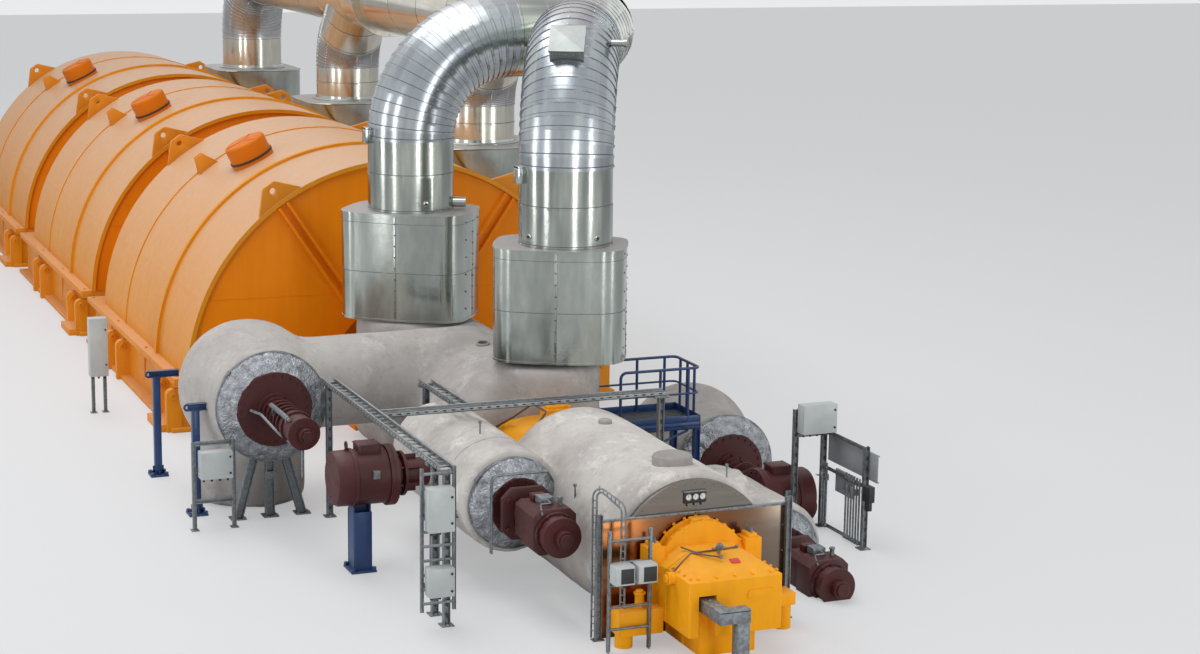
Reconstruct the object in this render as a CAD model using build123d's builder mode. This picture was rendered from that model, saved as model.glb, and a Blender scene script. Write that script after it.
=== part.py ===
"""Steam turbine set as a 1:2 scale model, in millimetres of the model.

The shaft runs along X, with the high-pressure end at +X. Z is up and the floor is at Z = 0.
The origin is on the floor, under the shaft, at the middle of the mid-pressure casing.
In the names, high, mid and low stand for the high-, mid- and low-pressure casings.
"""
import os
from math import cos, radians, sin, tan

from build123d import *

# Shaft and joint plane, and the clearance of pieces that only stand against each other
shaft_z = 475
joint_z = 500
seat = 0.3

# Low-pressure casings
low_count = 3
low_pitch = 4700
low1_x = -4275
hood_radius = 2000
hood_centre_z = 425
hood_length = 3950
hood_rim = 40
end_wall_recess = 60
end_wall_thickness = 30
bay_radius = 620
bay_depth = 300
bay_boss_radius = 420
thick_rib_x = 725
thick_rib_width = 60
thick_rib_height = 28
thin_seam_x = -825
thin_seam_width = 24
thin_seam_height = 10
end_rib_height = 50
end_rib_width = 26
end_rib_gap = 90
end_rib_inset = 10
end_rib_foot = 120

# Base frame under each hood
base_shift = -250
base_length = 4350
base_half_width = 2030
rail_overhang = 75
rail_thickness = 60
end_lip = 60
foot_overhang = 100
foot_thickness = 40
gusset_reach = 140
gusset_thickness = 80
gusset_height = 400
gusset_pitch = 510
gusset_mid_x = -520
gusset_front_inset = 330
pocket_width = 150
pocket_height = 330
pocket_depth = 60
pocket_rise = 80
pocket_xs = (-1170, 525)
sole_length = 260
sole_reach = 210
sole_height = 70

# Relief covers on the left shoulder, brackets and lifting lugs
drum_angle = 26
drum_radius = 205
drum_height = 170
drum_root = 30
drum_shift = 25
gasket_rise = 35
gasket_height = 16
gasket_lip = 14
bracket_angle = 35
bracket_size = 210
bracket_plate = 24
bracket_gap = 70
bracket_root = 30
bracket_shift = 65
lug_angle = 34
lug_width = 520
lug_height = 180
lug_plate = 40
lug_root = 40
lug_inset = 10
lug_crown = 62
lug_hole_radius = 30
lug_hole_drop = 70

# Clad inlet boxes on the right shoulder
inlet_y = 1470
inlet_box_x = 1200
inlet_box_y = 1150
inlet_box_corner = 250
inlet_box_drop = 95
inlet_box_foot = 1200
lid_thickness = 16
lid_lip = 14

# Crossover pipes
pipe_radius = 370
header_radius = 400
header_rise = 1310
elbow_radius = 880
branch_lean = 42
branch_bend_radius = 620
gore_angle = 5.6
run_course = 1000
bead_height = 9
bead_width = 22
stub_height = 620
header_front_x = -1250
band_x = -7350
band_length = 90
band_lip = 60

# Outlet boxes on the mid-pressure casing, with their necks and risers
front_box_x = 1100
front_box_y = 300
rear_box_x = -1100
rear_box_y = -270
outlet_box_x = 800
outlet_box_y = 1120
outlet_box_corner = 200
outlet_box_bottom = 1225
outlet_box_height = 925
front_neck_y = 150
front_neck_radius = 430
rear_neck_radius = 475
hatch_size = 280
hatch_depth = 115
hatch_angle = 48
riser_box = 90
riser_box_reach = 50
riser_box_z = 2640

# Mid-pressure casing
mid_rear_x = -1900
mid_front_x = 1250
mid_radius = 725
mid_end_round = 260

# Reheat valves beside the mid-pressure casing
mid_ring_radius = 436
mid_disc_radius = 295
mid_bulb_radius = 560
mid_ring_x = 660
mid_bulb_x = -50
mid_branch_radius = 375
mid_trunk_radius = 440
mid_collar_radius = 440
mid_left_y = -1985
mid_left_z = 910
mid_right_y = 1950
mid_right_z = 95
mid_actuator_length = 830
mid_stand_spread = 520
mid_stand_leg = 70

# High-pressure casing
high_rear_x = 1980
high_front_x = 4200
high_radius = 600
high_end_round = 200
chest_radius = 380
high_ring_radius = 330
high_disc_radius = 212
high_left_front_x = 3000
high_left_rear_x = 1340
high_left_y = -840
high_left_z = 635
high_right_front_x = 3100
high_right_rear_x = 1900
high_right_y = 1215
high_right_z = 95
high_branch_radius = 300
high_branch_z = 275
high_actuator_length = 860
ring_thickness = 60
ring_cone = 70
ring_step = 20
disc_thickness = 40
big_cap_x = 3875
big_cap_radius = 140
big_cap_height = 58
small_cap_x = 2680
small_cap_radius = 50
small_cap_height = 35

# Stop-valve actuators on their posts
side_x = 2200
side_rise = 225
side_radius = 215
side_inner_y = 1510
side_length = 430
side_neck_radius = 120
side_post = 130

# Bearings along the shaft
bearing_radius = 400
bearing_rear_x = 1250
bearing_block = 150
bearing_block_rise = 475
rear_pedestal_length = 350
rotor_stub = 120
pedestal_half_width = 550
flange_radius = 330
flange_thickness = 90
flange_pitch_radius = 265
flange_bolts = 12
flange_hole_radius = 18
shaft_radius = 190

# Front end: screen, gauge panel and pedestal
screen_gap = 50
screen_half_width = 680
screen_top = 825
screen_thickness = 12
screen_post = 40
gauge_panel = 165
front_pedestal_x = 4560
front_pedestal_length = 365
front_pedestal_half = 335
front_pedestal_bottom = 175
front_pedestal_eave = 541
front_pedestal_ridge = 640
ridge_setback = 50
roof_hip = 150
plinth_half = 200
cap_cover_length = 140
cap_cover_radius = 285
cap_flange = 22
cap_flange_lip = 30
step_cover_half = 340
step_cover_top_half = 190
side_block = 120
side_block_rise = 175
wing_reach = 310
wing_top = 260
wing_thickness = 85
wing_foot_radius = 60
notch_y = -268
notch_width = 125
notch_top = 450
notch_depth = 120
face_pad = 150
face_pad_y = 100
duct_size = 90
duct_reach = 280
duct_turn = 220

# Ladder, gauge boxes and handrail at the front left
ladder_width = 190
ladder_side = 30
ladder_rung = 20
ladder_rungs = 5
gauge_box = 140
gauge_box_height = 130
gauge_box_z = 490
arch_top = 1070
arch_length = 200
arch_radius = 13
arch_bend = 90

# Blue access platform
deck_x0 = 750
deck_x1 = 1250
deck_width = 720
deck_z = 645
deck_thickness = 60
rail_height = 460
rail_size = 24
toe_height = 60
blue_post = 50

# Galvanised trays, their posts and the cable ladder at the end of the left one
tray_top = 1120
tray_width = 110
tray_depth = 38
tray_wall = 6
left_tray_y = -1545
left_tray_x0 = 740
left_tray_x1 = 3650
cross_tray_x = 1985
cross_tray_y1 = 790
short_tray_y = -840
short_tray_x0 = 1030
tray_post = 45
cable_ladder_width = 250
cable_ladder_bar = 25
cable_ladder_z0 = 120
cable_ladder_rungs = 6

# Switch boxes and their stands
box_depth = 110
valve_box_x = 800
valve_box_y0 = -2631
valve_box_y1 = -2321
valve_box_z0 = 425
valve_box_z1 = 640
valve_stand_top = 700
stand_bar = 30
tray_box_width = 180
tray_box_bands = ((250, 450), (700, 1000))
cabinet_x = -3400
cabinet_y = -2590
cabinet_width = 170
cabinet_z0 = 350
cabinet_z1 = 905

# Blue support posts with a level arm, as x, y and height
support_posts = ((-944, -2550, 900), (352, -2512, 900), (2850, -1369, 575))
support_size = 60
support_arm = 280
support_arm_height = 55
support_foot = 150
foot_plate = 14

# Instrument rack on the right, with its panels, tubes and one switch box
rack_y = 2010
rack_x0 = 2320
rack_x1 = 3000
rack_post = 40
rack_rail = 30
rack_top = 800
rack_low_z = 20
rack_mid_z = 480
rack_panel_z = 545
rack_panel_height = 215
rack_panel_overhang = 140
rack_plate = 8
low_panel_x0 = 2500
low_panel_x1 = 2790
low_panel_z = 330
tube_radius = 11
tube_pitch = 42
tube_runs = ((2350, 3), (2750, 6))
rack_box_x = 2440
rack_box_y = 1697
rack_box_width = 290
rack_box_post = 990
rack_box_z0 = 812
rack_box_z1 = 1041

PIECES = {}


def keep(name, shape):
    """Label a finished piece and remember it for export."""
    shape.label = name
    PIECES[name] = shape
    return shape


def low_x(number):
    """Middle of one hood along the shaft."""
    return low1_x - number * low_pitch


def on_hood(x, angle, lift=0.0):
    """Plane on a hood's skin with its normal outwards. Positive angles are on the right."""
    turn = radians(angle)
    radius = hood_radius + lift
    origin = (x, radius * sin(turn), hood_centre_z + radius * cos(turn))
    return Plane(origin=origin, x_dir=(1, 0, 0), z_dir=(0, sin(turn), cos(turn)))


def disc_x(x0, x1, y, z, radius, mode=Mode.ADD):
    """Cylinder along X, added to the part that is being built."""
    with BuildSketch(Plane.YZ.offset(x0)) as face:
        with Locations((y, z)):
            Circle(radius)
    extrude(face.sketch, amount=x1 - x0, mode=mode)


def disc_y(y0, y1, x, z, radius, mode=Mode.ADD):
    """Cylinder along Y, added to the part that is being built."""
    with BuildSketch(Plane.XZ.offset(-y0)) as face:
        with Locations((x, z)):
            Circle(radius)
    extrude(face.sketch, amount=y0 - y1, mode=mode)


def disc_z(z0, z1, x, y, radius, mode=Mode.ADD):
    """Upright cylinder, added to the part that is being built."""
    with BuildSketch(Plane.XY.offset(z0)) as face:
        with Locations((x, y)):
            Circle(radius)
    extrude(face.sketch, amount=z1 - z0, mode=mode)


def block(x0, x1, y0, y1, z0, z1, mode=Mode.ADD):
    """Square-edged block between two corners, added to the part that is being built."""
    with BuildSketch(Plane.XY.offset(z0)) as face:
        with Locations(((x0 + x1) / 2, (y0 + y1) / 2)):
            Rectangle(x1 - x0, y1 - y0)
    extrude(face.sketch, amount=z1 - z0, mode=mode)


def above_floor(shape):
    """The part of a shape that stands above the floor."""
    with BuildPart() as cut:
        add(shape)
        split(bisect_by=Plane.XY, keep=Keep.TOP)
    return cut.part


def biggest(shape):
    """The largest solid of a shape."""
    return shape.solids().sort_by(SortBy.VOLUME)[-1]


def make_hood(number):
    """Round-topped upper casing with its ribs and end recesses."""
    mid = low_x(number)
    with BuildPart() as hood:
        disc_x(mid - hood_length / 2, mid + hood_length / 2, 0, hood_centre_z, hood_radius)
        for place, width, height in (
            (thick_rib_x, thick_rib_width, thick_rib_height),
            (thin_seam_x, thin_seam_width, thin_seam_height),
        ):
            disc_x(mid + place - width / 2, mid + place + width / 2, 0, hood_centre_z,
                   hood_radius + height)
        for end in (-1, 1):
            face = mid + end * hood_length / 2
            disc_x(face, face - end * end_wall_recess, 0, hood_centre_z, hood_radius - hood_rim,
                   Mode.SUBTRACT)
            disc_x(face, face - end * bay_depth, 0, shaft_z, bay_radius, Mode.SUBTRACT)
        split(bisect_by=Plane.XY.offset(joint_z), keep=Keep.TOP)
    return hood.part


def make_end_walls(number):
    """Flat walls that close both ends of a hood, each with two slanting rib pairs."""
    mid = low_x(number)
    reach = hood_radius - hood_rim - end_rib_inset
    length = reach - bay_radius - end_rib_foot
    with BuildPart() as walls:
        for end in (-1, 1):
            inner = mid + end * (hood_length / 2 - end_wall_recess)
            outer = inner + end * end_wall_thickness
            disc_x(inner, outer, 0, hood_centre_z, hood_radius - hood_rim)
            disc_x(inner, outer, 0, shaft_z, bay_radius, Mode.SUBTRACT)
            for side in (-1, 1):
                for shift in (-0.5, 0.5):
                    with BuildSketch(Plane.YZ.offset(outer)):
                        with Locations(Location((0, hood_centre_z), side * -lug_angle)):
                            with Locations((shift * end_rib_gap, reach - length / 2)):
                                Rectangle(end_rib_width, length)
                    extrude(amount=end * end_rib_height)
        split(bisect_by=Plane.XY.offset(joint_z), keep=Keep.TOP)
    return walls.part


def make_base(number):
    """Closed base frame with joint rails, foot flanges, round-topped gussets and pockets."""
    mid = low_x(number) + base_shift
    half = base_length / 2
    with BuildPart() as base:
        block(mid - half, mid + half, -base_half_width - foot_overhang, base_half_width + foot_overhang,
              0, foot_thickness)
        block(mid - half + end_lip, mid + half - end_lip, -base_half_width, base_half_width, 0, joint_z)
        block(mid - half, mid + half, -base_half_width - rail_overhang, base_half_width + rail_overhang,
              joint_z - rail_thickness, joint_z)
        front_mid = half - gusset_front_inset
        for side in (-1, 1):
            for x in (gusset_mid_x - gusset_pitch / 2, gusset_mid_x + gusset_pitch / 2,
                      front_mid - gusset_pitch / 2, front_mid + gusset_pitch / 2):
                with BuildSketch(Plane.YZ.offset(mid + x - gusset_thickness / 2)):
                    with BuildLine():
                        y0 = side * base_half_width
                        y1 = side * (base_half_width + gusset_reach)
                        Polyline((y0, 0), (y1, 0), (y1, gusset_height), (y0, gusset_height), close=True)
                    make_face()
                extrude(amount=gusset_thickness)
            y0, y1 = sorted((side * base_half_width, side * (base_half_width + sole_reach)))
            block(mid + front_mid - gusset_pitch / 2, mid + front_mid + sole_length, y0, y1, 0, sole_height)
        tips = base.edges().filter_by(Axis.X).filter_by(
            lambda edge: abs(edge.length - gusset_thickness) < 1
            and abs(edge.center().Z - gusset_height) < 1
            and abs(edge.center().Y) > base_half_width + gusset_reach / 2
        )
        fillet(tips, gusset_reach * 0.45)
        for side in (-1, 1):
            for x in pocket_xs:
                with BuildSketch(Plane.XZ.offset(-side * base_half_width)):
                    with BuildLine():
                        top = pocket_rise + pocket_height
                        Polyline((mid + x - pocket_width / 2, top), (mid + x + pocket_width / 2, top),
                                 (mid + x - pocket_width / 2, top - pocket_height), close=True)
                    make_face()
                extrude(amount=side * pocket_depth, mode=Mode.SUBTRACT)
    return base.part


def lug_sketch():
    """Triangular eye plate with a round crown and a lifting hole."""
    with BuildSketch() as eye:
        with BuildLine():
            Polyline((-lug_width / 2, -lug_root), (lug_width / 2, -lug_root), (lug_crown, lug_height),
                     (-lug_crown, lug_height), close=True)
        make_face()
        fillet(eye.vertices().group_by(Axis.Y)[-1], 0.8 * lug_crown)
        with Locations((0, lug_height - lug_hole_drop)):
            Circle(lug_hole_radius, mode=Mode.SUBTRACT)
    return eye.sketch


def make_lugs(number):
    """Four eye plates on a hood's edges and the twin-plate bracket by the relief cover."""
    mid = low_x(number)
    with BuildPart() as lugs:
        for end in (-1, 1):
            for side in (-1, 1):
                turn = radians(side * lug_angle)
                edge_x = mid + end * (hood_length / 2 - lug_inset)
                base = (edge_x, hood_radius * sin(turn), hood_centre_z + hood_radius * cos(turn))
                plane = Plane(origin=base, x_dir=(0, cos(turn), -sin(turn)), z_dir=(1, 0, 0))
                with BuildSketch(plane.offset(-lug_plate if end > 0 else 0)):
                    add(lug_sketch())
                extrude(amount=lug_plate)
        for shift in (-0.5, 0.5):
            plane = on_hood(mid + thin_seam_x + bracket_shift + shift * bracket_gap, -bracket_angle)
            with BuildSketch(Plane(origin=plane.origin, x_dir=plane.y_dir, z_dir=(1, 0, 0))):
                with BuildLine():
                    Polyline((-0.6 * bracket_size, -bracket_root), (0.6 * bracket_size, -bracket_root),
                             (0.15 * bracket_size, 0.75 * bracket_size),
                             (-0.25 * bracket_size, 0.75 * bracket_size), close=True)
                make_face()
            extrude(amount=bracket_plate / 2, both=True)
        disc_x(mid - hood_length / 2, mid + hood_length / 2, 0, hood_centre_z, hood_radius, Mode.SUBTRACT)
    return lugs.part


def make_relief_cover(number):
    """Drum-shaped cover with a gasket line on the left shoulder."""
    x = low_x(number) + drum_shift
    with BuildPart() as cover:
        with BuildSketch(on_hood(x, -drum_angle, -drum_root)):
            Circle(drum_radius)
        extrude(amount=drum_root + drum_height)
        with BuildSketch(on_hood(x, -drum_angle, gasket_rise)):
            Circle(drum_radius + gasket_lip)
        extrude(amount=gasket_height)
        disc_x(x - hood_length / 2, x + hood_length / 2, 0, hood_centre_z, hood_radius, Mode.SUBTRACT)
    return cover.part


inlet_top = hood_centre_z + hood_radius - inlet_box_drop
header_z = inlet_top + header_rise


def make_inlet_box(number):
    """Rounded clad box that stands on a hood's right shoulder, under a lid with a lip."""
    x = low_x(number)
    with BuildPart() as box:
        with BuildSketch(Plane.XY.offset(joint_z)):
            with Locations((x, inlet_y)):
                RectangleRounded(inlet_box_x, inlet_box_y, inlet_box_corner)
        extrude(amount=inlet_top - joint_z)
        with BuildSketch(Plane.XY.offset(inlet_top - lid_thickness)):
            with Locations((x, inlet_y)):
                RectangleRounded(inlet_box_x + 2 * lid_lip, inlet_box_y + 2 * lid_lip,
                                 inlet_box_corner + lid_lip)
        extrude(amount=lid_thickness)
        disc_x(x - inlet_box_x, x + inlet_box_x, 0, hood_centre_z, hood_radius + seat, Mode.SUBTRACT)
        block(x - inlet_box_x, x + inlet_box_x, 0, hood_radius * 2, 0, inlet_box_foot, Mode.SUBTRACT)
    return biggest(box.part)


def bent_bar(points, bend, radius):
    """Round bar along straight runs joined by arcs."""
    with BuildPart() as bar:
        with BuildLine() as path:
            FilletPolyline(*points, radius=bend)
        with BuildSketch(Plane(origin=points[0], z_dir=path.line % 0)):
            Circle(radius)
        sweep(path=path.line)
    return bar.part


def gored_route(points, bend):
    """Corner points of a route whose bends are cut into straight gores, each tangent to the bend."""
    points = [Vector(point) for point in points]
    route = [points[0]]
    for before, corner, after in zip(points, points[1:], points[2:]):
        way_in = (corner - before).normalized()
        way_out = (after - corner).normalized()
        turn = way_in.get_angle(way_out)
        gore = turn / round(turn / gore_angle)
        centre = corner + (way_out - way_in).normalized() * (bend / cos(radians(turn / 2)))
        spoke = corner - way_in * bend * tan(radians(turn / 2)) - centre
        hinge = Axis((0, 0, 0), way_in.cross(way_out))
        for index in range(round(turn / gore)):
            route.append(centre + spoke.rotate(hinge, (index + 0.5) * gore) / cos(radians(gore / 2)))
    return route + [points[-1]]


def course_joints(route):
    """Places and directions of the joints between sheet courses, at each corner and along the long runs."""
    joints = []
    for start, end in zip(route, route[1:]):
        count = max(1, round((end - start).length / run_course))
        joints += [(start + (end - start) * (index / count), end - start) for index in range(1, count)]
    for before, corner, after in zip(route, route[1:], route[2:]):
        joints.append((corner, (corner - before).normalized() + (after - corner).normalized()))
    return joints


def clad_pipe(points, bend, radius):
    """Pipe clad with sheet courses: gored bends with a raised bead on every joint."""
    route = gored_route(points, bend)
    with BuildPart() as pipe:
        with BuildLine() as path:
            Polyline(*route)
        with BuildSketch(Plane(origin=route[0], z_dir=path.line % 0)):
            Circle(radius)
        sweep(path=path.line, transition=Transition.RIGHT)
        for place, way in course_joints(route):
            with BuildSketch(Plane(origin=place, z_dir=way)) as bead:
                Circle(radius + bead_height)
            extrude(bead.sketch, amount=bead_width / 2, both=True)
    return pipe.part


for number in range(low_count):
    label = f"low{number + 1}"
    keep(f"{label}_hood", make_hood(number))
    keep(f"{label}_end_walls", make_end_walls(number))
    keep(f"{label}_base", make_base(number))

with BuildPart() as relief_covers:
    for number in range(low_count):
        add(make_relief_cover(number))
keep("relief_covers", relief_covers.part)

with BuildPart() as lifting_lugs:
    for number in range(low_count):
        add(make_lugs(number))
keep("lifting_lugs", lifting_lugs.part)

with BuildPart() as inlet_boxes:
    for number in range(low_count):
        add(make_inlet_box(number))
keep("inlet_boxes", inlet_boxes.part)

# Crossover header with its end elbow and band ring, and the leaning downcomers
last_x = low_x(low_count - 1)
with BuildPart() as crossover_header:
    add(clad_pipe([(header_front_x, inlet_y, header_z), (last_x, inlet_y, header_z),
                   (last_x, inlet_y, inlet_top)], elbow_radius, header_radius))
    disc_x(band_x, band_x + band_length, inlet_y, header_z, header_radius + band_lip)
keep("crossover_header", crossover_header.part)

downcomers = []
for number in range(low_count - 1):
    x = low_x(number)
    bend_z = inlet_top + stub_height
    lean = (header_z - bend_z) * tan(radians(branch_lean))
    with BuildPart() as downcomer:
        add(clad_pipe([(x, inlet_y, inlet_top), (x, inlet_y, bend_z), (x + lean, inlet_y, header_z)],
                      branch_bend_radius, pipe_radius))
        add(crossover_header.part, mode=Mode.SUBTRACT)
    downcomers.append(downcomer.part.solids().sort_by(Axis.Z)[0])
with BuildPart() as low_downcomers:
    for shape in downcomers:
        add(shape)
keep("low_downcomers", low_downcomers.part)

# Risers out of the outlet boxes, with the hatch on the front bend and a small box on each
outlet_top = outlet_box_bottom + outlet_box_height
header_front = Vector(header_front_x, inlet_y, header_z)
with BuildPart() as front_riser:
    add(clad_pipe([(front_box_x, front_box_y, outlet_top), (front_box_x, front_box_y, header_z),
                   header_front], elbow_radius, pipe_radius))
    add(crossover_header.part, mode=Mode.SUBTRACT)
front_riser_solid = keep("front_riser", front_riser.part.solids().sort_by(Axis.X)[-1])

with BuildPart() as rear_riser:
    add(clad_pipe([(rear_box_x, rear_box_y, outlet_top), (rear_box_x, rear_box_y, header_z),
                   (rear_box_x, inlet_y, header_z)], elbow_radius, pipe_radius))
    add(crossover_header.part, mode=Mode.SUBTRACT)
    add(front_riser_solid, mode=Mode.SUBTRACT)
rear_riser_solid = keep("rear_riser", rear_riser.part.solids().sort_by(Axis.Z)[0])

away = (Vector(front_box_x, front_box_y, header_z) - header_front).normalized()
outward = away * cos(radians(hatch_angle)) + Vector(0, 0, 1) * sin(radians(hatch_angle))
bend_centre = Vector(front_box_x, front_box_y, header_z - elbow_radius) - away * elbow_radius
with BuildPart() as riser_hatch:
    hatch_foot = bend_centre + outward * (elbow_radius + pipe_radius * 0.8)
    with BuildSketch(Plane(origin=hatch_foot, x_dir=Vector(0, 0, 1).cross(away), z_dir=outward)):
        Rectangle(hatch_size, hatch_size)
    extrude(amount=pipe_radius * 0.2 + hatch_depth)
    add(front_riser_solid, mode=Mode.SUBTRACT)
keep("riser_hatch", riser_hatch.part.solids().sort_by(Axis.Z)[-1])

with BuildPart() as riser_boxes:
    for x, y, rise in ((front_box_x, front_box_y, 0), (rear_box_x, rear_box_y, riser_box)):
        block(x - riser_box / 2, x + riser_box / 2, y - pipe_radius - riser_box_reach, y - pipe_radius * 0.9,
              riser_box_z + rise, riser_box_z + rise + 1.5 * riser_box)
    add(front_riser_solid, mode=Mode.SUBTRACT)
    add(rear_riser_solid, mode=Mode.SUBTRACT)
keep("riser_boxes", riser_boxes.part)

# Mid-pressure casing with the necks of its outlet boxes
with BuildPart() as mid_casing:
    disc_x(mid_rear_x, mid_front_x, 0, shaft_z, mid_radius)
    fillet(mid_casing.edges().filter_by(GeomType.CIRCLE), mid_end_round)
    disc_z(shaft_z, outlet_box_bottom, front_box_x, front_neck_y, front_neck_radius)
    disc_z(shaft_z, outlet_box_bottom, rear_box_x, rear_box_y, rear_neck_radius)
    split(bisect_by=Plane.XY, keep=Keep.TOP)
mid_solid = keep("mid_casing", mid_casing.part)

with BuildPart() as outlet_boxes:
    for x, y in ((front_box_x, front_box_y), (rear_box_x, rear_box_y)):
        for z, thickness, lip in (
            (outlet_box_bottom, outlet_box_height, 0),
            (outlet_box_bottom, lid_thickness, lid_lip),
            (outlet_box_bottom + 0.52 * outlet_box_height, lid_thickness, lid_lip / 2),
            (outlet_top - lid_thickness, lid_thickness, lid_lip),
        ):
            with BuildSketch(Plane.XY.offset(z)):
                with Locations((x, y)):
                    RectangleRounded(outlet_box_x + 2 * lip, outlet_box_y + 2 * lip, outlet_box_corner + lip)
            extrude(amount=thickness)
keep("outlet_boxes", outlet_boxes.part)


def make_reheat_valve(y, z):
    """Insulated valve bulb with its face collar, its branch to the casing and its trunk."""
    with BuildPart() as valve:
        with Locations((mid_bulb_x, y, z)):
            Sphere(mid_bulb_radius)
        disc_x(mid_bulb_x, mid_ring_x, y, z, mid_collar_radius)
        disc_y(y, 0, mid_bulb_x, z, mid_branch_radius)
        if z > mid_bulb_radius:
            disc_z(0, z, mid_bulb_x, y, mid_trunk_radius)
        add(mid_solid, mode=Mode.SUBTRACT)
        split(bisect_by=Plane.XY, keep=Keep.TOP)
    solids = valve.part.solids().sort_by(Axis.Y)
    return solids[0] if y < 0 else solids[-1]


def make_ring(x, y, z, outer, inner):
    """Foil-wrapped ring that slopes in towards a valve's cover disc."""
    with BuildPart() as ring:
        disc_x(x, x + ring_thickness, y, z, outer)
        with BuildSketch(Plane.YZ.offset(x + ring_thickness)) as wide:
            with Locations((y, z)):
                Circle(outer - ring_step)
        with BuildSketch(Plane.YZ.offset(x + ring_thickness + ring_cone)) as narrow:
            with Locations((y, z)):
                Circle(inner + ring_step)
        loft([wide.sketch, narrow.sketch])
        disc_x(x, x + ring_thickness + ring_cone, y, z, inner, Mode.SUBTRACT)
    return above_floor(ring.part)


def make_actuator(x, y, z, disc, length):
    """Cover disc with its bolted hub, lantern, spring stack and servo cylinder."""
    start = x + disc_thickness
    steps = ((0.0, 0.08, 0.62), (0.08, 0.24, 0.40), (0.24, 0.29, 0.58), (0.29, 0.34, 0.40),
             (0.34, 0.39, 0.58), (0.39, 0.44, 0.40), (0.44, 0.60, 0.56), (0.60, 0.96, 0.48),
             (0.96, 1.0, 0.26))
    with BuildPart() as actuator:
        disc_x(x - ring_thickness, start, y, z, disc)
        for begin, end, size in steps:
            disc_x(start + begin * length, start + end * length, y, z, size * disc)
    return above_floor(actuator.part)


mid_left_valve = keep("mid_left_valve", make_reheat_valve(mid_left_y, mid_left_z))
mid_right_valve = keep("mid_right_valve", make_reheat_valve(mid_right_y, mid_right_z))
mid_places = ((mid_left_y, mid_left_z), (mid_right_y, mid_right_z))
with BuildPart() as mid_rings:
    for y, z in mid_places:
        add(make_ring(mid_ring_x, y, z, mid_ring_radius, mid_disc_radius))
keep("mid_rings", mid_rings.part)
mid_disc_x = mid_ring_x + ring_thickness + ring_cone
with BuildPart() as mid_actuators:
    for y, z in mid_places:
        add(make_actuator(mid_disc_x, y, z, mid_disc_radius - seat, mid_actuator_length))
keep("mid_actuators", mid_actuators.part)

with BuildPart() as mid_left_stand:
    foot_x = mid_ring_x - mid_stand_leg
    top_z = mid_left_z - 0.8 * mid_ring_radius
    for shift in (-0.5, 0, 0.5):
        with BuildSketch(Plane.XY) as foot:
            with Locations((foot_x, mid_left_y + shift * mid_stand_spread)):
                Rectangle(mid_stand_leg, mid_stand_leg)
        with BuildSketch(Plane.XY.offset(top_z)) as head:
            with Locations((foot_x, mid_left_y + shift * 0.4 * mid_stand_spread)):
                Rectangle(mid_stand_leg, mid_stand_leg)
        loft([foot.sketch, head.sketch])
    add(mid_left_valve, mode=Mode.SUBTRACT)
keep("mid_left_stand", mid_left_stand.part)

# High-pressure casing with its steam chests
with BuildPart() as high_casing:
    disc_x(high_rear_x, high_front_x, 0, shaft_z, high_radius)
    fillet(high_casing.edges().filter_by(GeomType.CIRCLE).group_by(Axis.X)[0], high_end_round)
    split(bisect_by=Plane.XY, keep=Keep.TOP)
high_solid = keep("high_casing", high_casing.part)

with BuildPart() as high_left_chest:
    disc_x(high_left_rear_x, high_left_front_x, high_left_y, high_left_z, chest_radius)
    add(high_solid, mode=Mode.SUBTRACT)
left_chest = keep("high_left_chest", biggest(high_left_chest.part))

with BuildPart() as high_right_chest:
    disc_x(high_right_rear_x, high_right_front_x, high_right_y, high_right_z, chest_radius)
    disc_y(high_right_y, 0, (high_right_rear_x + high_right_front_x) / 2, high_branch_z, high_branch_radius)
    add(high_solid, mode=Mode.SUBTRACT)
    split(bisect_by=Plane.XY, keep=Keep.TOP)
right_chest = keep("high_right_chest", high_right_chest.part.solids().sort_by(Axis.Y)[-1])

high_places = ((high_left_front_x, high_left_y, high_left_z),
               (high_right_front_x, high_right_y, high_right_z))
with BuildPart() as high_rings:
    for x, y, z in high_places:
        add(make_ring(x, y, z, high_ring_radius, high_disc_radius))
    disc_x(high_left_rear_x - ring_thickness, high_left_rear_x, high_left_y, high_left_z, high_ring_radius)
    add(high_solid, mode=Mode.SUBTRACT)
keep("high_rings", high_rings.part)
with BuildPart() as high_actuators:
    for x, y, z in high_places:
        add(make_actuator(x + ring_thickness + ring_cone, y, z, high_disc_radius - seat,
                          high_actuator_length))
    add(high_solid, mode=Mode.SUBTRACT)
keep("high_actuators", high_actuators.part)

with BuildPart() as high_caps:
    for x, radius, height in (
        (big_cap_x, big_cap_radius, big_cap_height),
        (small_cap_x, small_cap_radius, small_cap_height),
    ):
        disc_z(shaft_z + high_radius * 0.9, shaft_z + high_radius + height, x, 0, radius)
    add(high_solid, mode=Mode.SUBTRACT)
keep("high_caps", high_caps.part)

# Stop-valve actuators: the left one stands high on a post, the right one low
with BuildPart() as side_actuators:
    for side, chest, chest_y in ((-1, left_chest, high_left_y), (1, right_chest, high_right_y)):
        y = side * side_inner_y
        z = shaft_z - side * side_rise
        disc_y(y, y + side * side_length, side_x, z, side_radius)
        disc_y(y, chest_y, side_x, z, side_neck_radius)
        add(chest, mode=Mode.SUBTRACT)
keep("side_actuators", side_actuators.part)

with BuildPart() as side_posts:
    for side in (-1, 1):
        y = side * (side_inner_y + side_length / 2)
        block(side_x - side_post * 0.7, side_x + side_post * 0.7, y - side_post / 2, y + side_post / 2,
              0, shaft_z - side * side_rise)
    add(side_actuators.part, mode=Mode.SUBTRACT)
keep("side_posts", side_posts.part)

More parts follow.
